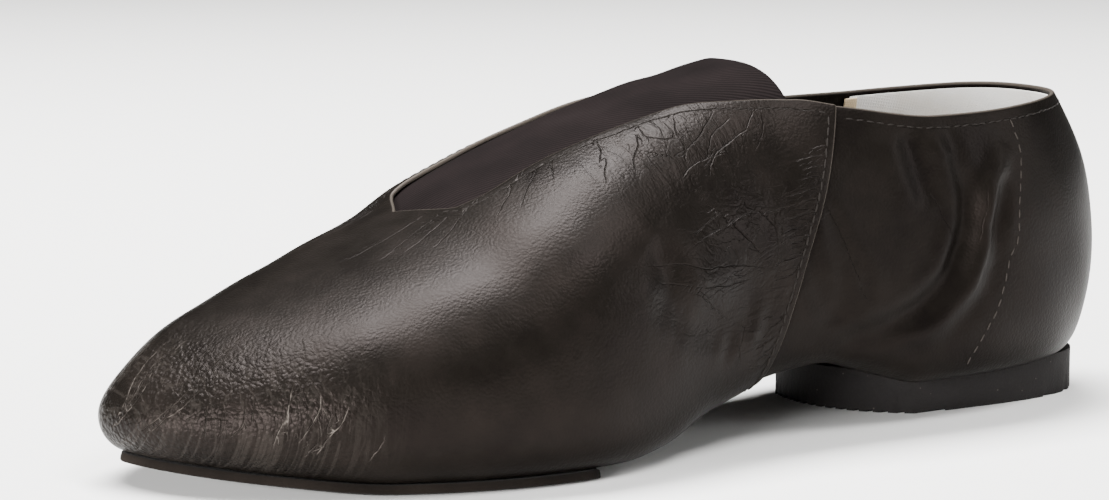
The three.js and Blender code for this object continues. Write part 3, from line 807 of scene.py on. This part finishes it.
def waves_per_mm(size):
    """Scale of a wave texture laid out in mm, for bands this far apart."""
    return WAVE_PERIOD / size


def add(tree, kind, links=None, stops=None, out=0, into=None, **settings):
    """Adds a node with its settings and links, and gives its output.

    in_1=… fills socket 1, Scale=… the socket of that name, and other settings are the node's own.
    Stops are (position, hex or grey value) of a ramp, and into is a socket to join the output to.
    """
    node = tree.nodes.new("ShaderNode" + kind)
    for key, value in settings.items():
        if key.startswith("in_"):
            node.inputs[int(key[3:])].default_value = value
        elif key[0].isupper():
            value = colour(value) if isinstance(value, str) else value
            node.inputs[key.replace("_", " ")].default_value = value
        else:
            setattr(node, key, value)
    if stops:
        shades = [(at, colour(v) if isinstance(v, str) else (v, v, v, 1)) for at, v in stops]
        elements = node.color_ramp.elements
        elements[0].position, elements[0].color = shades[0]
        elements[1].position, elements[1].color = shades[-1]
        for at, shade in shades[1:-1]:
            elements.new(at).color = shade
    for key, source in (links or {}).items():
        tree.links.new(source, node.inputs[key])
    if into:
        tree.links.new(node.outputs[out], into)
    return node.outputs[out]


def new_material(name, roughness, specular):
    material = bpy.data.materials.new(name)
    material.use_nodes = True
    tree = material.node_tree
    surface = tree.nodes["Principled BSDF"].inputs
    surface["Roughness"].default_value = roughness
    surface["Specular IOR Level"].default_value = specular
    return material, tree, surface


# Wrinkle patterns: pitch in mm along the shoe and down its side, and their slant in degrees.
Wrinkle = namedtuple("Wrinkle", "along down slant")
WRINKLES = {
    "edge": Wrinkle(2.6, 8.5, 14),
    "seam": Wrinkle(8, 2.0, -8),
    "cross": Wrinkle(6, 3.0, 40),
    "crack": Wrinkle(2.2, 6, 20),
}
THIN_LINE = [(0.45, 0.0), (0.5, 1.0), (0.55, 0.0)]
CREASE_WAVER = 1.2
CREASE_HALF_WIDTH = 0.24


def worn_leather(name, gloss, smooth, rough):
    """Drum-dyed goatskin, worn to a soft warm gloss by rubbing, with a painted highlight along its rounded
    rim.

    The eye sees a fine pebbled grain, thin creases where the foot bends it, and a finish that has
    cracked and gone grey in the toe's creases.
    """
    material, tree, surface = new_material(name, (smooth + rough) / 2, gloss)
    surface["Specular Tint"].default_value = colour("#ffe6e0")
    place_in = add(tree, "TexCoord", out="Object")
    laid = add(tree, "Attribute", attribute_name="weave", out="Vector")
    painted = {
        kind: add(tree, "Attribute", attribute_name=kind, out="Fac")
        for kind in ("rim_highlight", *WRINKLES, "crease_gap", "crease_depth", "crease_pale")
    }

    # Colour: uneven dye, and a painted highlight along the rounded rim.
    soft = add(tree, "TexNoise", {"Vector": place_in}, Scale=per_mm(14), Detail=4.0, Roughness=0.6)
    dye = add(tree, "ValToRGB", {"Fac": soft}, [(0.3, "#0a0807"), (0.5, "#0e0c0a"), (0.72, "#13100e")])
    # Painted highlight: the rim's rows are mixed towards a pale grey.
    rim_highlighted = add(tree, "MixRGB", {"Fac": painted["rim_highlight"], "Color1": dye}, Color2="#6f675f")
    add(tree, "ValToRGB", {"Fac": soft}, [(0.3, smooth), (0.7, rough)], into=surface["Roughness"])

    # The listed creases: a wavering line along the zero of a signed distance in mm, and
    # pale where the finish has broken, with gaps.
    waver = add(tree, "TexNoise", {"Vector": place_in}, Scale=per_mm(4), Detail=3.0)
    moved = {0: waver, 2: painted["crease_gap"]}
    shifted = add(tree, "Math", moved, operation="MULTIPLY_ADD", in_1=CREASE_WAVER)
    centred = add(tree, "Math", {0: shifted}, operation="SUBTRACT", in_1=CREASE_WAVER / 2)
    away = add(tree, "Math", {0: centred}, operation="ABSOLUTE")
    line = add(
        tree, "MapRange", {"Value": away}, interpolation_type="SMOOTHSTEP",
        From_Min=0.0, From_Max=CREASE_HALF_WIDTH, To_Min=1.0, To_Max=0.0,
    )
    skips = add(tree, "TexNoise", {"Vector": place_in}, Scale=per_mm(1.8), Detail=2.0)
    kept = add(tree, "ValToRGB", {"Fac": skips}, [(0.42, 0.15), (0.58, 1.0)])
    pale = add(tree, "Math", {0: line, 1: painted["crease_pale"]}, operation="MULTIPLY")
    broken = add(tree, "Math", {0: pale, 1: kept}, operation="MULTIPLY")

    # Wrinkles finer than those: stretched noise, and thin lines along its middle value.
    folds, lines = {}, {}
    for kind, row in WRINKLES.items():
        turned = add(
            tree, "Mapping", {"Vector": laid},
            Scale=(1 / row.along, 1 / row.down, 1), Rotation=(0, 0, math.radians(row.slant)),
        )
        folds[kind] = add(tree, "TexNoise", {"Vector": turned}, Scale=1.0, Detail=3.0, Distortion=0.7)
        lines[kind] = add(tree, "ValToRGB", {"Fac": folds[kind]}, THIN_LINE)
    cracked = add(tree, "Math", {0: lines["crack"], 1: painted["crack"]}, operation="MULTIPLY")
    cracked = add(tree, "Math", {0: cracked, 2: broken}, operation="MULTIPLY_ADD", in_1=0.03)
    faded = {"Fac": cracked, "Color1": rim_highlighted}
    add(tree, "MixRGB", faded, Color2="#7d756e", into=surface["Base Color"])

    # Grain: pebbles of about 0.7 mm, really finer, drawn as coarse as they need to show.
    bend = add(tree, "TexNoise", {"Vector": place_in}, Scale=per_mm(3), Detail=2.0, out="Color")
    bent = {"Color1": place_in, "Color2": bend}
    warped = add(tree, "MixRGB", bent, blend_type="LINEAR_LIGHT", Fac=0.6 * MM)
    pebbles, coarse = (
        add(tree, "TexVoronoi", {"Vector": warped}, feature="F1", Scale=per_mm(size)) for size in (0.7, 1.0)
    )

    # Each pattern, where it is, and its height in mm, summed for one bump node that reads mm.
    total = None
    for pattern, where, height in (
        (pebbles, None, -0.05),
        (coarse, "crack", -0.2),
        (line, "crease_depth", -0.6),
        (folds["edge"], "edge", 0.45),
        (lines["edge"], "edge", -0.05),
        (folds["seam"], "seam", 0.6),
        (lines["seam"], "seam", -0.05),
        (folds["cross"], "cross", 0.3),
        (lines["cross"], "cross", -0.06),
        (folds["crack"], "crack", 0.2),
        (lines["crack"], "crack", -0.03),
    ):
        if where:
            pattern = add(tree, "Math", {0: pattern, 1: painted[where]}, operation="MULTIPLY")
        links = {0: pattern} if total is None else {0: pattern, 2: total}
        total = add(tree, "Math", links, operation="MULTIPLY_ADD", in_1=height)
    add(tree, "Bump", {"Height": total}, Strength=1.0, Distance=MM, into=surface["Normal"])
    return material


def ribbed_elastic(name):
    """Woven elastic webbing: fine slanting ribs of spun yarn, dull. The real ribs are about 0.6 mm
    apart, drawn at 1 mm so that they show."""
    material, tree, surface = new_material(name, 0.85, 0.02)
    laid = add(tree, "Attribute", attribute_name="weave", out="Vector")
    turned = add(tree, "Mapping", {"Vector": laid}, Rotation=(0, 0, math.radians(-55)))
    ribs = add(
        tree, "TexWave", {"Vector": turned},
        wave_type="BANDS", Scale=waves_per_mm(1.0), Distortion=0.3, Detail=1.0,
    )
    fuzz = add(tree, "TexNoise", {"Vector": laid}, Scale=2.2, Detail=3.0)
    soft = add(tree, "TexNoise", {"Vector": laid}, Scale=0.06, Detail=2.0)
    base = add(tree, "ValToRGB", {"Fac": soft}, [(0.3, "#130f0f"), (0.7, "#1b1616")])
    both = {"Color1": base, "Color2": ribs}
    add(tree, "MixRGB", both, blend_type="MULTIPLY", Fac=0.55, into=surface["Base Color"])
    raised = add(tree, "Bump", {"Height": ribs}, Strength=0.6, Distance=0.16 * MM)
    hairy = {"Height": fuzz, "Normal": raised}
    add(tree, "Bump", hairy, Strength=0.3, Distance=0.1 * MM, into=surface["Normal"])
    return material


def plain_weave(name, light, dark, thread):
    """Plain-woven cotton: threads over and under each other, matt, a little soiled, with short
    hairs that catch light from the side."""
    material, tree, surface = new_material(name, 0.9, 0.25)
    surface["Sheen Weight"].default_value = 0.25
    laid = add(tree, "Attribute", attribute_name="weave", out="Vector")
    warp, weft = (
        add(
            tree, "TexWave", {"Vector": laid}, out="Fac",
            bands_direction=way, Scale=waves_per_mm(thread), Distortion=0.3,
        )
        for way in ("X", "Y")
    )
    both = add(tree, "Math", {0: warp, 1: weft}, operation="MAXIMUM")
    soil = add(tree, "TexNoise", {"Vector": laid}, Scale=0.09, Detail=5.0)
    add(tree, "ValToRGB", {"Fac": soil}, [(0.3, dark), (0.6, light)], into=surface["Base Color"])
    add(tree, "Bump", {"Height": both}, Strength=0.5, Distance=0.15 * MM, into=surface["Normal"])
    return material


def foam_rubber(name):
    """Moulded micro-cell rubber: matt black with a fine pitted skin and grey dust in it."""
    material, tree, surface = new_material(name, 0.86, 0.25)
    place_in = add(tree, "TexCoord", out="Object")
    pits = add(tree, "TexNoise", {"Vector": place_in}, Scale=per_mm(0.6), Detail=4.0)
    cells = add(tree, "TexVoronoi", {"Vector": place_in}, Scale=per_mm(2.6))
    dust = add(tree, "ValToRGB", {"Fac": cells}, [(0.0, "#6a645e"), (0.09, "#151211")])
    tone = add(tree, "ValToRGB", {"Fac": pits}, [(0.3, "#0e0c0c"), (0.75, "#1a1716")])
    both = {"Color1": tone, "Color2": dust}
    add(tree, "MixRGB", both, blend_type="LIGHTEN", Fac=0.7, into=surface["Base Color"])
    add(tree, "Bump", {"Height": pits}, Strength=0.7, Distance=0.3 * MM, into=surface["Normal"])
    return material


def split_suede(name):
    """Split suede, buffed: a short nap that scatters light, darker where it is trodden."""
    material, tree, surface = new_material(name, 0.95, 0.03)
    surface["Sheen Weight"].default_value = 0.03
    place_in = add(tree, "TexCoord", out="Object")
    nap = add(tree, "TexNoise", {"Vector": place_in}, Scale=per_mm(0.6), Detail=5.0)
    trodden = add(tree, "TexNoise", {"Vector": place_in}, Scale=per_mm(18), Detail=3.0)
    tones = [(0.3, "#100d0b"), (0.7, "#1a1613")]
    add(tree, "ValToRGB", {"Fac": trodden}, tones, into=surface["Base Color"])
    add(tree, "Bump", {"Height": nap}, Strength=0.6, Distance=0.25 * MM, into=surface["Normal"])
    return material


def spun_thread(name, code):
    """Bonded polyester thread: twisted, slightly glossy."""
    material, tree, surface = new_material(name, 0.65, 0.06)
    surface["Base Color"].default_value = colour(code)
    place_in = add(tree, "TexCoord", out="Object")
    twist = add(tree, "TexNoise", {"Vector": place_in}, Scale=per_mm(0.35), Detail=2.0)
    add(tree, "Bump", {"Height": twist}, Strength=0.5, Distance=0.08 * MM, into=surface["Normal"])
    return material


# The vamp is polished by wear, and the quarters are duller.
VAMP_LEATHER = worn_leather("goatskin_black_worn", 0.055, 0.33, 0.41)
QUARTER_LEATHER = worn_leather("goatskin_black_dull", 0.04, 0.38, 0.46)
ELASTIC = ribbed_elastic("elastic_webbing_black")
CANVAS = plain_weave("cotton_canvas_natural", "#fbf9f5", "#f0eae0", 0.7)
TAPE = plain_weave("cotton_tape_ecru", "#d9c3a0", "#b49a76", 0.5)
LINING_BLACK = plain_weave("cotton_lining_black", "#231f1f", "#171414", 0.6)
INSOLE_CLOTH = plain_weave("insole_drill_black", "#2b2626", "#1c1818", 0.9)
RUBBER = foam_rubber("micro_cell_rubber_black")
SUEDE = split_suede("split_suede_black")
THREAD = spun_thread("bonded_thread_black", "#1d1a18")
THREAD_GREY = spun_thread("bonded_thread_grey", "#2d2926")


# The leather of the upper: two quarters round the heel, and the vamp lapped over them.
VAMP_ROWS = (9, 24, 62)
QUARTER_ROWS = (8, 24, 48)
UNDER_VAMP = 6
LAP_START = 3
LAP_END = 16
seam_at = station_of(seam_x)
throat_at = station_of(throat_x)


def vamp_high(x):
    return SEAM_LAP * (1 - ease(x, seam_x + LAP_START, seam_x + LAP_END))


def vamp_low(x):
    return vamp_high(x) - LEATHER * mix(0.8, 1, ease(x, seam_x, seam_x + 8))


def quarter_high(x):
    return -0.45 * ease(x, seam_x - 0.5, seam_x + 2)


def quarter_low(x):
    return quarter_high(x) - mix(LEATHER, 0.6, ease(x, seam_x - 1, seam_x + 2))


STITCH_GROOVE = 0.3
COLLAR_MARGIN = 2.4
THROAT_MARGIN = 2.2
SEAM_MARGIN = 1.5
LEVEL_STEP = 0.02
LEAST_LEVEL_LENGTH = 20


def lowered(side, station, level, drop):
    """The level that is drop mm further down the section."""
    down = last_point(side, station, level) - last_point(side, station, level - LEVEL_STEP)
    return level - drop / np.maximum(np.linalg.norm(down, axis=-1) / LEVEL_STEP, LEAST_LEVEL_LENGTH)


def line_below_edge(side, stations, drop):
    return lean(side, stations, lambda s: lowered(side, s, edge_level(side, s), drop))


def collar_line(side, count):
    return line_below_edge(side, np.linspace(0.0, seam_at - 0.01, count), COLLAR_MARGIN)


def throat_line(side, count):
    return line_below_edge(side, np.linspace(seam_at + 0.012, throat_at - 0.03, count), THROAT_MARGIN)


def vamp_seam_line(side, count):
    start = np.full(count, station_of(seam_x + SEAM_MARGIN))
    share = np.linspace(0, 1, count)
    return lean(side, start, lambda s: mix(1.05, edge_level(side, s) - 0.02, share))


# The thread draws a shallow groove in the leather along each row.
for side in SIDES:
    for region, line in (("quarter", collar_line), ("vamp", throat_line), ("vamp", vamp_seam_line)):
        CREASES[region] = CREASES[region] + [Crease(list(zip(*line(side, 26))), STITCH_GROOVE, 0.0, side)]


# Stations crowd towards the throat's point.
near_point = [station_of(throat_x - away) for away in (5, 3.5, 2.5, 1.5, 1, 0.5, 0.2, 0)]
vamp_stations = spaced(seam_at, 3, FINE, [station_of(seam_x + 0.5), *near_point])
quarter_stations = spaced(0, station_of(seam_x + UNDER_VAMP), FINE)
vamp = wall(
    "vamp",
    [profile_grid(side, vamp_stations, VAMP_ROWS, vamp_high, vamp_low) for side in SIDES],
    VAMP_LEATHER,
    "vamp",
)
quarters = wall(
    "quarters",
    [profile_grid(side, quarter_stations, QUARTER_ROWS, quarter_high, quarter_low) for side in SIDES],
    QUARTER_LEATHER,
    "quarter",
)
for piece in (vamp, quarters):
    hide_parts("upper")


# Linings: pale canvas round the heel with a taped front edge, black cotton ahead of it.
CANVAS_FRONT = station_of(39.5)
LINING_ROWS = (4, 12, 40)
LINING_DROP = 0.8
BEHIND_LEATHER = 0.12
TAPE_HALF_WIDTH = 3
TAPE_DROP = 1.2
TAPE_THICKNESS = 0.5


def lining_grid(side, stations, drop, high=-LEATHER - BEHIND_LEATHER, low=-LEATHER - LINING):
    """Stations by rows like the quarters' own, the top row drop mm below the edge."""
    under, tuck, arch = LINING_ROWS

    def level_at(s, row):
        share = np.clip((row - under - tuck) / arch, 0, 1)
        return lowered(side, s, column_levels(side, s, row, LINING_ROWS), share * drop)

    rows = range(sum(LINING_ROWS) + 1)
    slid, level = stacked(lean(side, stations, lambda s: level_at(s, row)) for row in rows)
    return Grid(side, slid, level, high, low)


tape_half = TAPE_HALF_WIDTH / (toe_pivot - heel_pivot)
TAPE_HIGH = -LEATHER - LINING - 0.02
canvas_stations = spaced(0, CANVAS_FRONT, 1.8)
tape_stations = spaced(CANVAS_FRONT - tape_half, CANVAS_FRONT + tape_half, 1.0)
dark_stations = spaced(CANVAS_FRONT, throat_at - 0.02, 1.4)
canvas = [lining_grid(side, canvas_stations, LINING_DROP) for side in SIDES]
tape = [
    lining_grid(side, tape_stations, TAPE_DROP, TAPE_HIGH, -LEATHER - LINING - TAPE_THICKNESS)
    for side in SIDES
]
dark_lining = [lining_grid(side, dark_stations, GORE_LAP + 3) for side in SIDES]
wall("heel_lining", canvas, CANVAS, "lining")
wall("lining_tape", tape, TAPE, "lining")
wall("vamp_lining", dark_lining, LINING_BLACK, "lining")


# The gore: elastic that bulges and waves behind the throat's point.
def gore_level(side, station):
    ahead = (station - throat_at) * (toe_pivot - heel_pivot)
    lap = GORE_LAP * np.sqrt(1 - np.clip(ahead / GORE_LAP, 0, 1) ** 2)
    opened = share_at_level(side, station, edge_level(side, station))
    opened = np.where(ahead < 0, opened, 0)
    return level_at_share(side, station, opened + lap / half_width(side, station))


GORE_TOP = -LEATHER - 0.1
GORE_ROWS = 34
gore_stations = spaced(station_of(gore_end_x), station_of(throat_x + GORE_LAP - 0.2), 1.2)


def gore_wave(x, share):
    """The slack elastic sinks behind the throat and waves a little, but not where it is sewn."""
    sink = -1.5 * (1 - ease(x, 103, 124))
    wave = 0.3 * np.sin((x - 100) / 3.4) * (1 - ease(x, 112, 124))
    return ease(share, 0.2, 1.0) * (sink + wave)


def gore_grid(side):
    shares = np.linspace(0, 1, GORE_ROWS + 1)
    slid, level = stacked(
        lean(side, gore_stations, lambda s: mix(gore_level(side, s), 3, share)) for share in shares
    )
    wave = gore_wave(mix(heel_pivot, toe_pivot, slid - 1), shares[None])
    return Grid(side, slid, level, GORE_TOP + wave, GORE_TOP - GORE_THICKNESS + wave)


gore = wall("gore_elastic", [gore_grid(side) for side in SIDES], ELASTIC)
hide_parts("gore")


# The strip over the back seam, narrower at its foot.
def strip_edge(share, width):
    """Station of the strip's edge at a share of its height, for its width at the top."""
    edge = math.asin((width / HEEL_WIDTH) ** (HEEL_ROUNDNESS / 2)) / RIGHT_ANGLE
    return edge * mix(0.62, 1.0, ease(share, 0.05, 0.75))


STRIP_FOOT = 1.35


def backstay_grid(side):
    share = np.linspace(0, 1, 41)
    station = np.linspace(0, 1, 7)[:, None] * strip_edge(share, BACKSTAY_WIDTH)[None]
    level = mix(STRIP_FOOT, edge_level(side, station) - 0.03, share[None])
    return Grid(side, station, level, GAP + BACKSTAY_THICKNESS, GAP - 0.25)


backstay = wall("back_strip", [backstay_grid(side) for side in SIDES], QUARTER_LEATHER)
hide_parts("backstay")


def insole_grid(side):
    level = np.linspace(0, 0.96, 15)[None]
    station = spaced(0, 3, COARSE)[:, None]
    station, level = np.broadcast_arrays(station, level)
    return Grid(side, station, level, UNDER_WALL, UNDER_WALL - INSOLE_THICKNESS)


insole = wall("sock_insole", [insole_grid(side) for side in SIDES], INSOLE_CLOTH)
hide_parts("insole")


# The forefoot pad of suede, with its curved rear edge.
PAD = dict(tuck=0.75, outer_rear=0.65, inner_rear=0.655, crown=0.585)
rear_from = plan(-1, PAD["tuck"], station_of(PAD["inner_rear"] * LENGTH))
rear_to = plan(1, PAD["tuck"], station_of(PAD["outer_rear"] * LENGTH))


def pad_rear(y):
    t = np.clip((y - rear_from[1]) / (rear_to[1] - rear_from[1]), 0, 1)
    pull = PAD["crown"] * LENGTH
    return (1 - t) ** 2 * rear_from[0] + 2 * t * (1 - t) * pull + t**2 * rear_to[0]


def pad_level(side, station, row):
    power = fullness(plan(side, 0, station)[0])
    return row * (1 + np.arcsin((1 - PAD["tuck"]) ** (power / 2)) / RIGHT_ANGLE)


def pad_row(side, row, passes=8):
    """One row of the pad, from its curved rear edge to the toe."""
    start = np.array(station_of(0.62 * LENGTH))
    for _ in range(passes):
        start = station_of(pad_rear(last_point(side, start, pad_level(side, start, row))[..., 1]))
    station = mix(float(start), 3, np.linspace(0, 1, 110))
    return station, pad_level(side, station, row)


def pad_grid(side):
    station, level = stacked(pad_row(side, row) for row in np.linspace(0, 1, 26))
    return Grid(side, station, level, GAP + FOREFOOT_SOLE_THICKNESS, GAP)


pad = wall("forefoot_pad", [pad_grid(side) for side in SIDES], SUEDE, squareness=0.5)
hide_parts("forefoot_sole")


# The heel lift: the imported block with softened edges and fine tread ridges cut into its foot.
TREAD_PITCH = 2.6 * MM
TREAD_DEPTH = 0.5 * MM
TREAD_WIDTH = 1.1 * MM
TREAD_START = 0.4 * MM
CUTTER_OVERHANG = 1.4
WELD = 0.02 * MM
EDGE_ROUND = 0.35 * MM


def apply_modifier(piece, name, kind, **settings):
    """Adds a modifier with its settings to the active piece and applies it."""
    modifier = piece.modifiers.new(name, kind)
    for key, value in settings.items():
        setattr(modifier, key, value)
    bpy.ops.object.modifier_apply(modifier=name)


def tread_cutter():
    """A row of bars, one for each groove across the foot of the lift."""
    low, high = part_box("heel_block")
    bpy.ops.object.select_all(action="DESELECT")
    bpy.ops.mesh.primitive_cube_add(size=1, location=(0, 0, 0))
    bars = bpy.context.object
    bars.name = "tread_cutter"
    bars.scale = ((high.x - low.x) * CUTTER_OVERHANG, TREAD_WIDTH, TREAD_DEPTH * 2)
    bars.location = ((high.x + low.x) / 2, low.y - TREAD_START, 0)
    bpy.ops.object.transform_apply(location=True, rotation=False, scale=True)
    apply_modifier(
        bars, "rows", "ARRAY", use_relative_offset=False, use_constant_offset=True,
        constant_offset_displace=(0, TREAD_PITCH, 0), count=int((high.y - low.y) / TREAD_PITCH) + 2,
    )
    return bars


def heel_lift():
    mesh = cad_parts["heel_block"].data.copy()
    lift = bpy.data.objects.new("heel_lift", mesh)
    bpy.context.collection.objects.link(lift)
    shape = bmesh.new()
    shape.from_mesh(mesh)
    bmesh.ops.remove_doubles(shape, verts=shape.verts, dist=WELD)
    bmesh.ops.dissolve_limit(shape, angle_limit=math.radians(2), verts=shape.verts, edges=shape.edges)
    shape.to_mesh(mesh)
    shape.free()
    mesh.materials.clear()
    mesh.materials.append(RUBBER)
    cutter = tread_cutter()
    bpy.ops.object.select_all(action="DESELECT")
    bpy.context.view_layer.objects.active = lift
    lift.select_set(True)
    apply_modifier(lift, "tread", "BOOLEAN", object=cutter, operation="DIFFERENCE", solver="EXACT")
    apply_modifier(
        lift, "soft_edges", "BEVEL",
        width=EDGE_ROUND, segments=2, limit_method="ANGLE", angle_limit=math.radians(50),
    )
    bpy.ops.object.shade_smooth_by_angle(angle=math.radians(35))
    bpy.data.objects.remove(cutter)
    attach(lift, "root")
    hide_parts("heel_block")


heel_lift()


# Stitches: one lock stitch is shaped, then copied along each seam into one mesh per row.
def one_stitch(length, thick):
    bpy.ops.object.select_all(action="DESELECT")
    bpy.ops.mesh.primitive_uv_sphere_add(segments=8, ring_count=6, radius=0.5)
    ball = bpy.context.object
    shape = np.array([v.co[:] for v in ball.data.vertices])
    faces = [list(p.vertices) for p in ball.data.polygons]
    bpy.data.objects.remove(ball)
    blunt = np.sign(shape[:, 0]) * np.abs(2 * shape[:, 0]) ** 0.6 / 2
    shape = np.stack([blunt * length, shape[:, 1] * thick, shape[:, 2] * thick * 0.8], 1)
    return shape, faces


# A stitch points from its own place to one this far ahead on its line, in mm.
AHEAD = 0.5


def stitch_row(name, paths, pitch, length, thick, material, height):
    """Stitches along paths of (points, normals) in mm, each slanted a little differently."""
    shape, faces = one_stitch(length, thick)
    points, polygons = [], []
    for line, normals in paths:
        travelled = np.r_[0, np.cumsum(np.linalg.norm(np.diff(line, axis=0), axis=1))]

        def read(values, at):
            return np.array([np.interp(at, travelled, values[:, k]) for k in range(3)])

        for i, at in enumerate(np.arange(pitch / 2, travelled[-1] - pitch / 2, pitch)):
            spot = read(line, at)
            ahead = read(line, at + AHEAD) - spot
            up = unit(read(normals, at))
            along = unit(ahead - up * (ahead @ up))
            across = np.cross(up, along)
            slant = 0.10 * math.sin(1.7 * i) + 0.06
            along, across = along + slant * across, across - slant * along
            start = len(points)
            moved = shape[:, :1] * along + shape[:, 1:2] * across + shape[:, 2:] * up
            points += (spot + up * height + moved).tolist()
            polygons += [[v + start for v in face] for face in faces]
    return new_mesh(name, place(points), polygons, material)


def on_leather(side, cells, height, region=None):
    """Points that high over the leather at (stations, levels), and their normals."""
    station, level = cells
    base = last_point(side, station, level)
    normal = last_normal(np.full(np.shape(station), side), station, level)
    raised = relief(base, region, np.full(len(base), side)) + slack(base) if region else 0
    return base + normal * (height + raised)[:, None], normal


def vamp_height(cells):
    return vamp_high(mix(heel_pivot, toe_pivot, cells[0] - 1))


# The counter's line of stitches runs down each side of the heel.
COUNTER_LINE = [
    (0.865, 2.345), (0.85, 2.24), (0.88, 2.13), (0.89, 2.05), (0.92, 2.0), (0.95, 1.82),
    (0.98, 1.69), (1.0, 1.54), (1.01, 1.36),
]
STRIP_MARGIN = 2.2
strip_share = np.linspace(0.06, 0.97, 70)
strip_width = BACKSTAY_WIDTH - 2 * STRIP_MARGIN
seam_paths, collar_paths, throat_paths, counter_paths, strip_paths = [], [], [], [], []
for side in SIDES:
    seam_paths.append(on_leather(side, vamp_seam_line(side, 90), np.full(90, SEAM_LAP), "vamp"))
    collar_paths.append(on_leather(side, collar_line(side, 160), np.zeros(160), "quarter"))
    cells = throat_line(side, 200)
    throat_paths.append(on_leather(side, cells, vamp_height(cells), "vamp"))
    cells = smooth_path(COUNTER_LINE).T
    counter_paths.append(on_leather(side, cells, np.zeros(cells.shape[1]), "quarter"))
    station = strip_edge(strip_share, strip_width)
    cells = station, mix(STRIP_FOOT, edge_level(side, station), strip_share)
    strip_paths.append(on_leather(side, cells, np.full(70, GAP + BACKSTAY_THICKNESS)))

# Rows: pitch, length, thickness and height over the leather in mm.
stitch_row("vamp_seam_stitches", seam_paths, 2.5, 2.1, 0.5, THREAD, 0.02)
stitch_row("collar_stitches", collar_paths, 2.6, 1.9, 0.36, THREAD, -0.02)
stitch_row("throat_stitches", throat_paths, 2.4, 1.7, 0.34, THREAD, -0.02)
stitch_row("counter_stitches", counter_paths, 3.0, 2.0, 0.42, THREAD_GREY, 0.0)
stitch_row("back_strip_stitches", strip_paths, 2.5, 1.8, 0.38, THREAD_GREY, 0.0)


# The stage: a pale floor, a soft light overhead and a camera at the photograph's angle.
def floor():
    bpy.ops.object.select_all(action="DESELECT")
    bpy.ops.mesh.primitive_plane_add(size=12, location=(0, 0, 0))
    plane = bpy.context.object
    plane.name = "floor"
    material, _, surface = new_material("studio_floor_pale", 0.9, 0.1)
    surface["Base Color"].default_value = colour("#f4f3f1")
    plane.data.materials.append(material)


# Softboxes: place, the point they face and size in metres, and power in watts.
Softbox = namedtuple("Softbox", "name place aim size watts")
SOFTBOXES = [
    Softbox("overhead", (0.05, -0.42, 1.5), (0.05, -0.42, 0), (1.3, 0.58), 122),
    Softbox("toe_side", (1.25, 0.36, 0.2), (0.12, 0, 0.02), (0.9, 0.38), 66),
    Softbox("heel_side", (-1.1, 0.92, 0.42), (0, 0, 0.04), (0.55, 0.5), 9),
    Softbox("fill", (-0.35, 0.75, 1.5), (0, 0, 0), (0.6, 0.6), 26),
]


def lights():
    for row in SOFTBOXES:
        light = bpy.data.lights.new(row.name, "AREA")
        light.shape = "RECTANGLE"
        light.size, light.size_y = row.size
        light.energy = row.watts
        lamp = bpy.data.objects.new(row.name, light)
        lamp.location = row.place
        lamp.rotation_euler = (Vector(row.aim) - Vector(row.place)).to_track_quat("-Z", "Y").to_euler()
        bpy.context.collection.objects.link(lamp)


# The camera, in the maker's frame: swing is from straight across the shoe, pitch is downward.
CAMERA_PLACE = (509.24, 548.29, 138.8)
CAMERA_SWING = math.radians(33.37)
CAMERA_PITCH = math.radians(8.32)
CAMERA_LENS = 99.33
SENSOR_WIDTH = 36


def camera():
    data = bpy.data.cameras.new("camera")
    data.lens = CAMERA_LENS
    data.sensor_width = SENSOR_WIDTH
    data.clip_start = 0.05
    data.clip_end = 30
    view = bpy.data.objects.new("camera", data)
    view.location = place(CAMERA_PLACE)
    flat, down = math.cos(CAMERA_PITCH), -math.sin(CAMERA_PITCH)
    ahead = Vector((-math.sin(CAMERA_SWING) * flat, -math.cos(CAMERA_SWING) * flat, down))
    view.rotation_euler = ahead.to_track_quat("-Z", "Y").to_euler()
    bpy.context.collection.objects.link(view)
    bpy.context.scene.camera = view


SKY_LIGHT = 0.03


def sky():
    world = bpy.data.worlds.new("studio")
    world.use_nodes = True
    back = world.node_tree.nodes["Background"]
    back.inputs["Color"].default_value = colour("#ffffff")
    back.inputs["Strength"].default_value = SKY_LIGHT
    bpy.context.scene.world = world


floor()
camera()
sky()
lights()
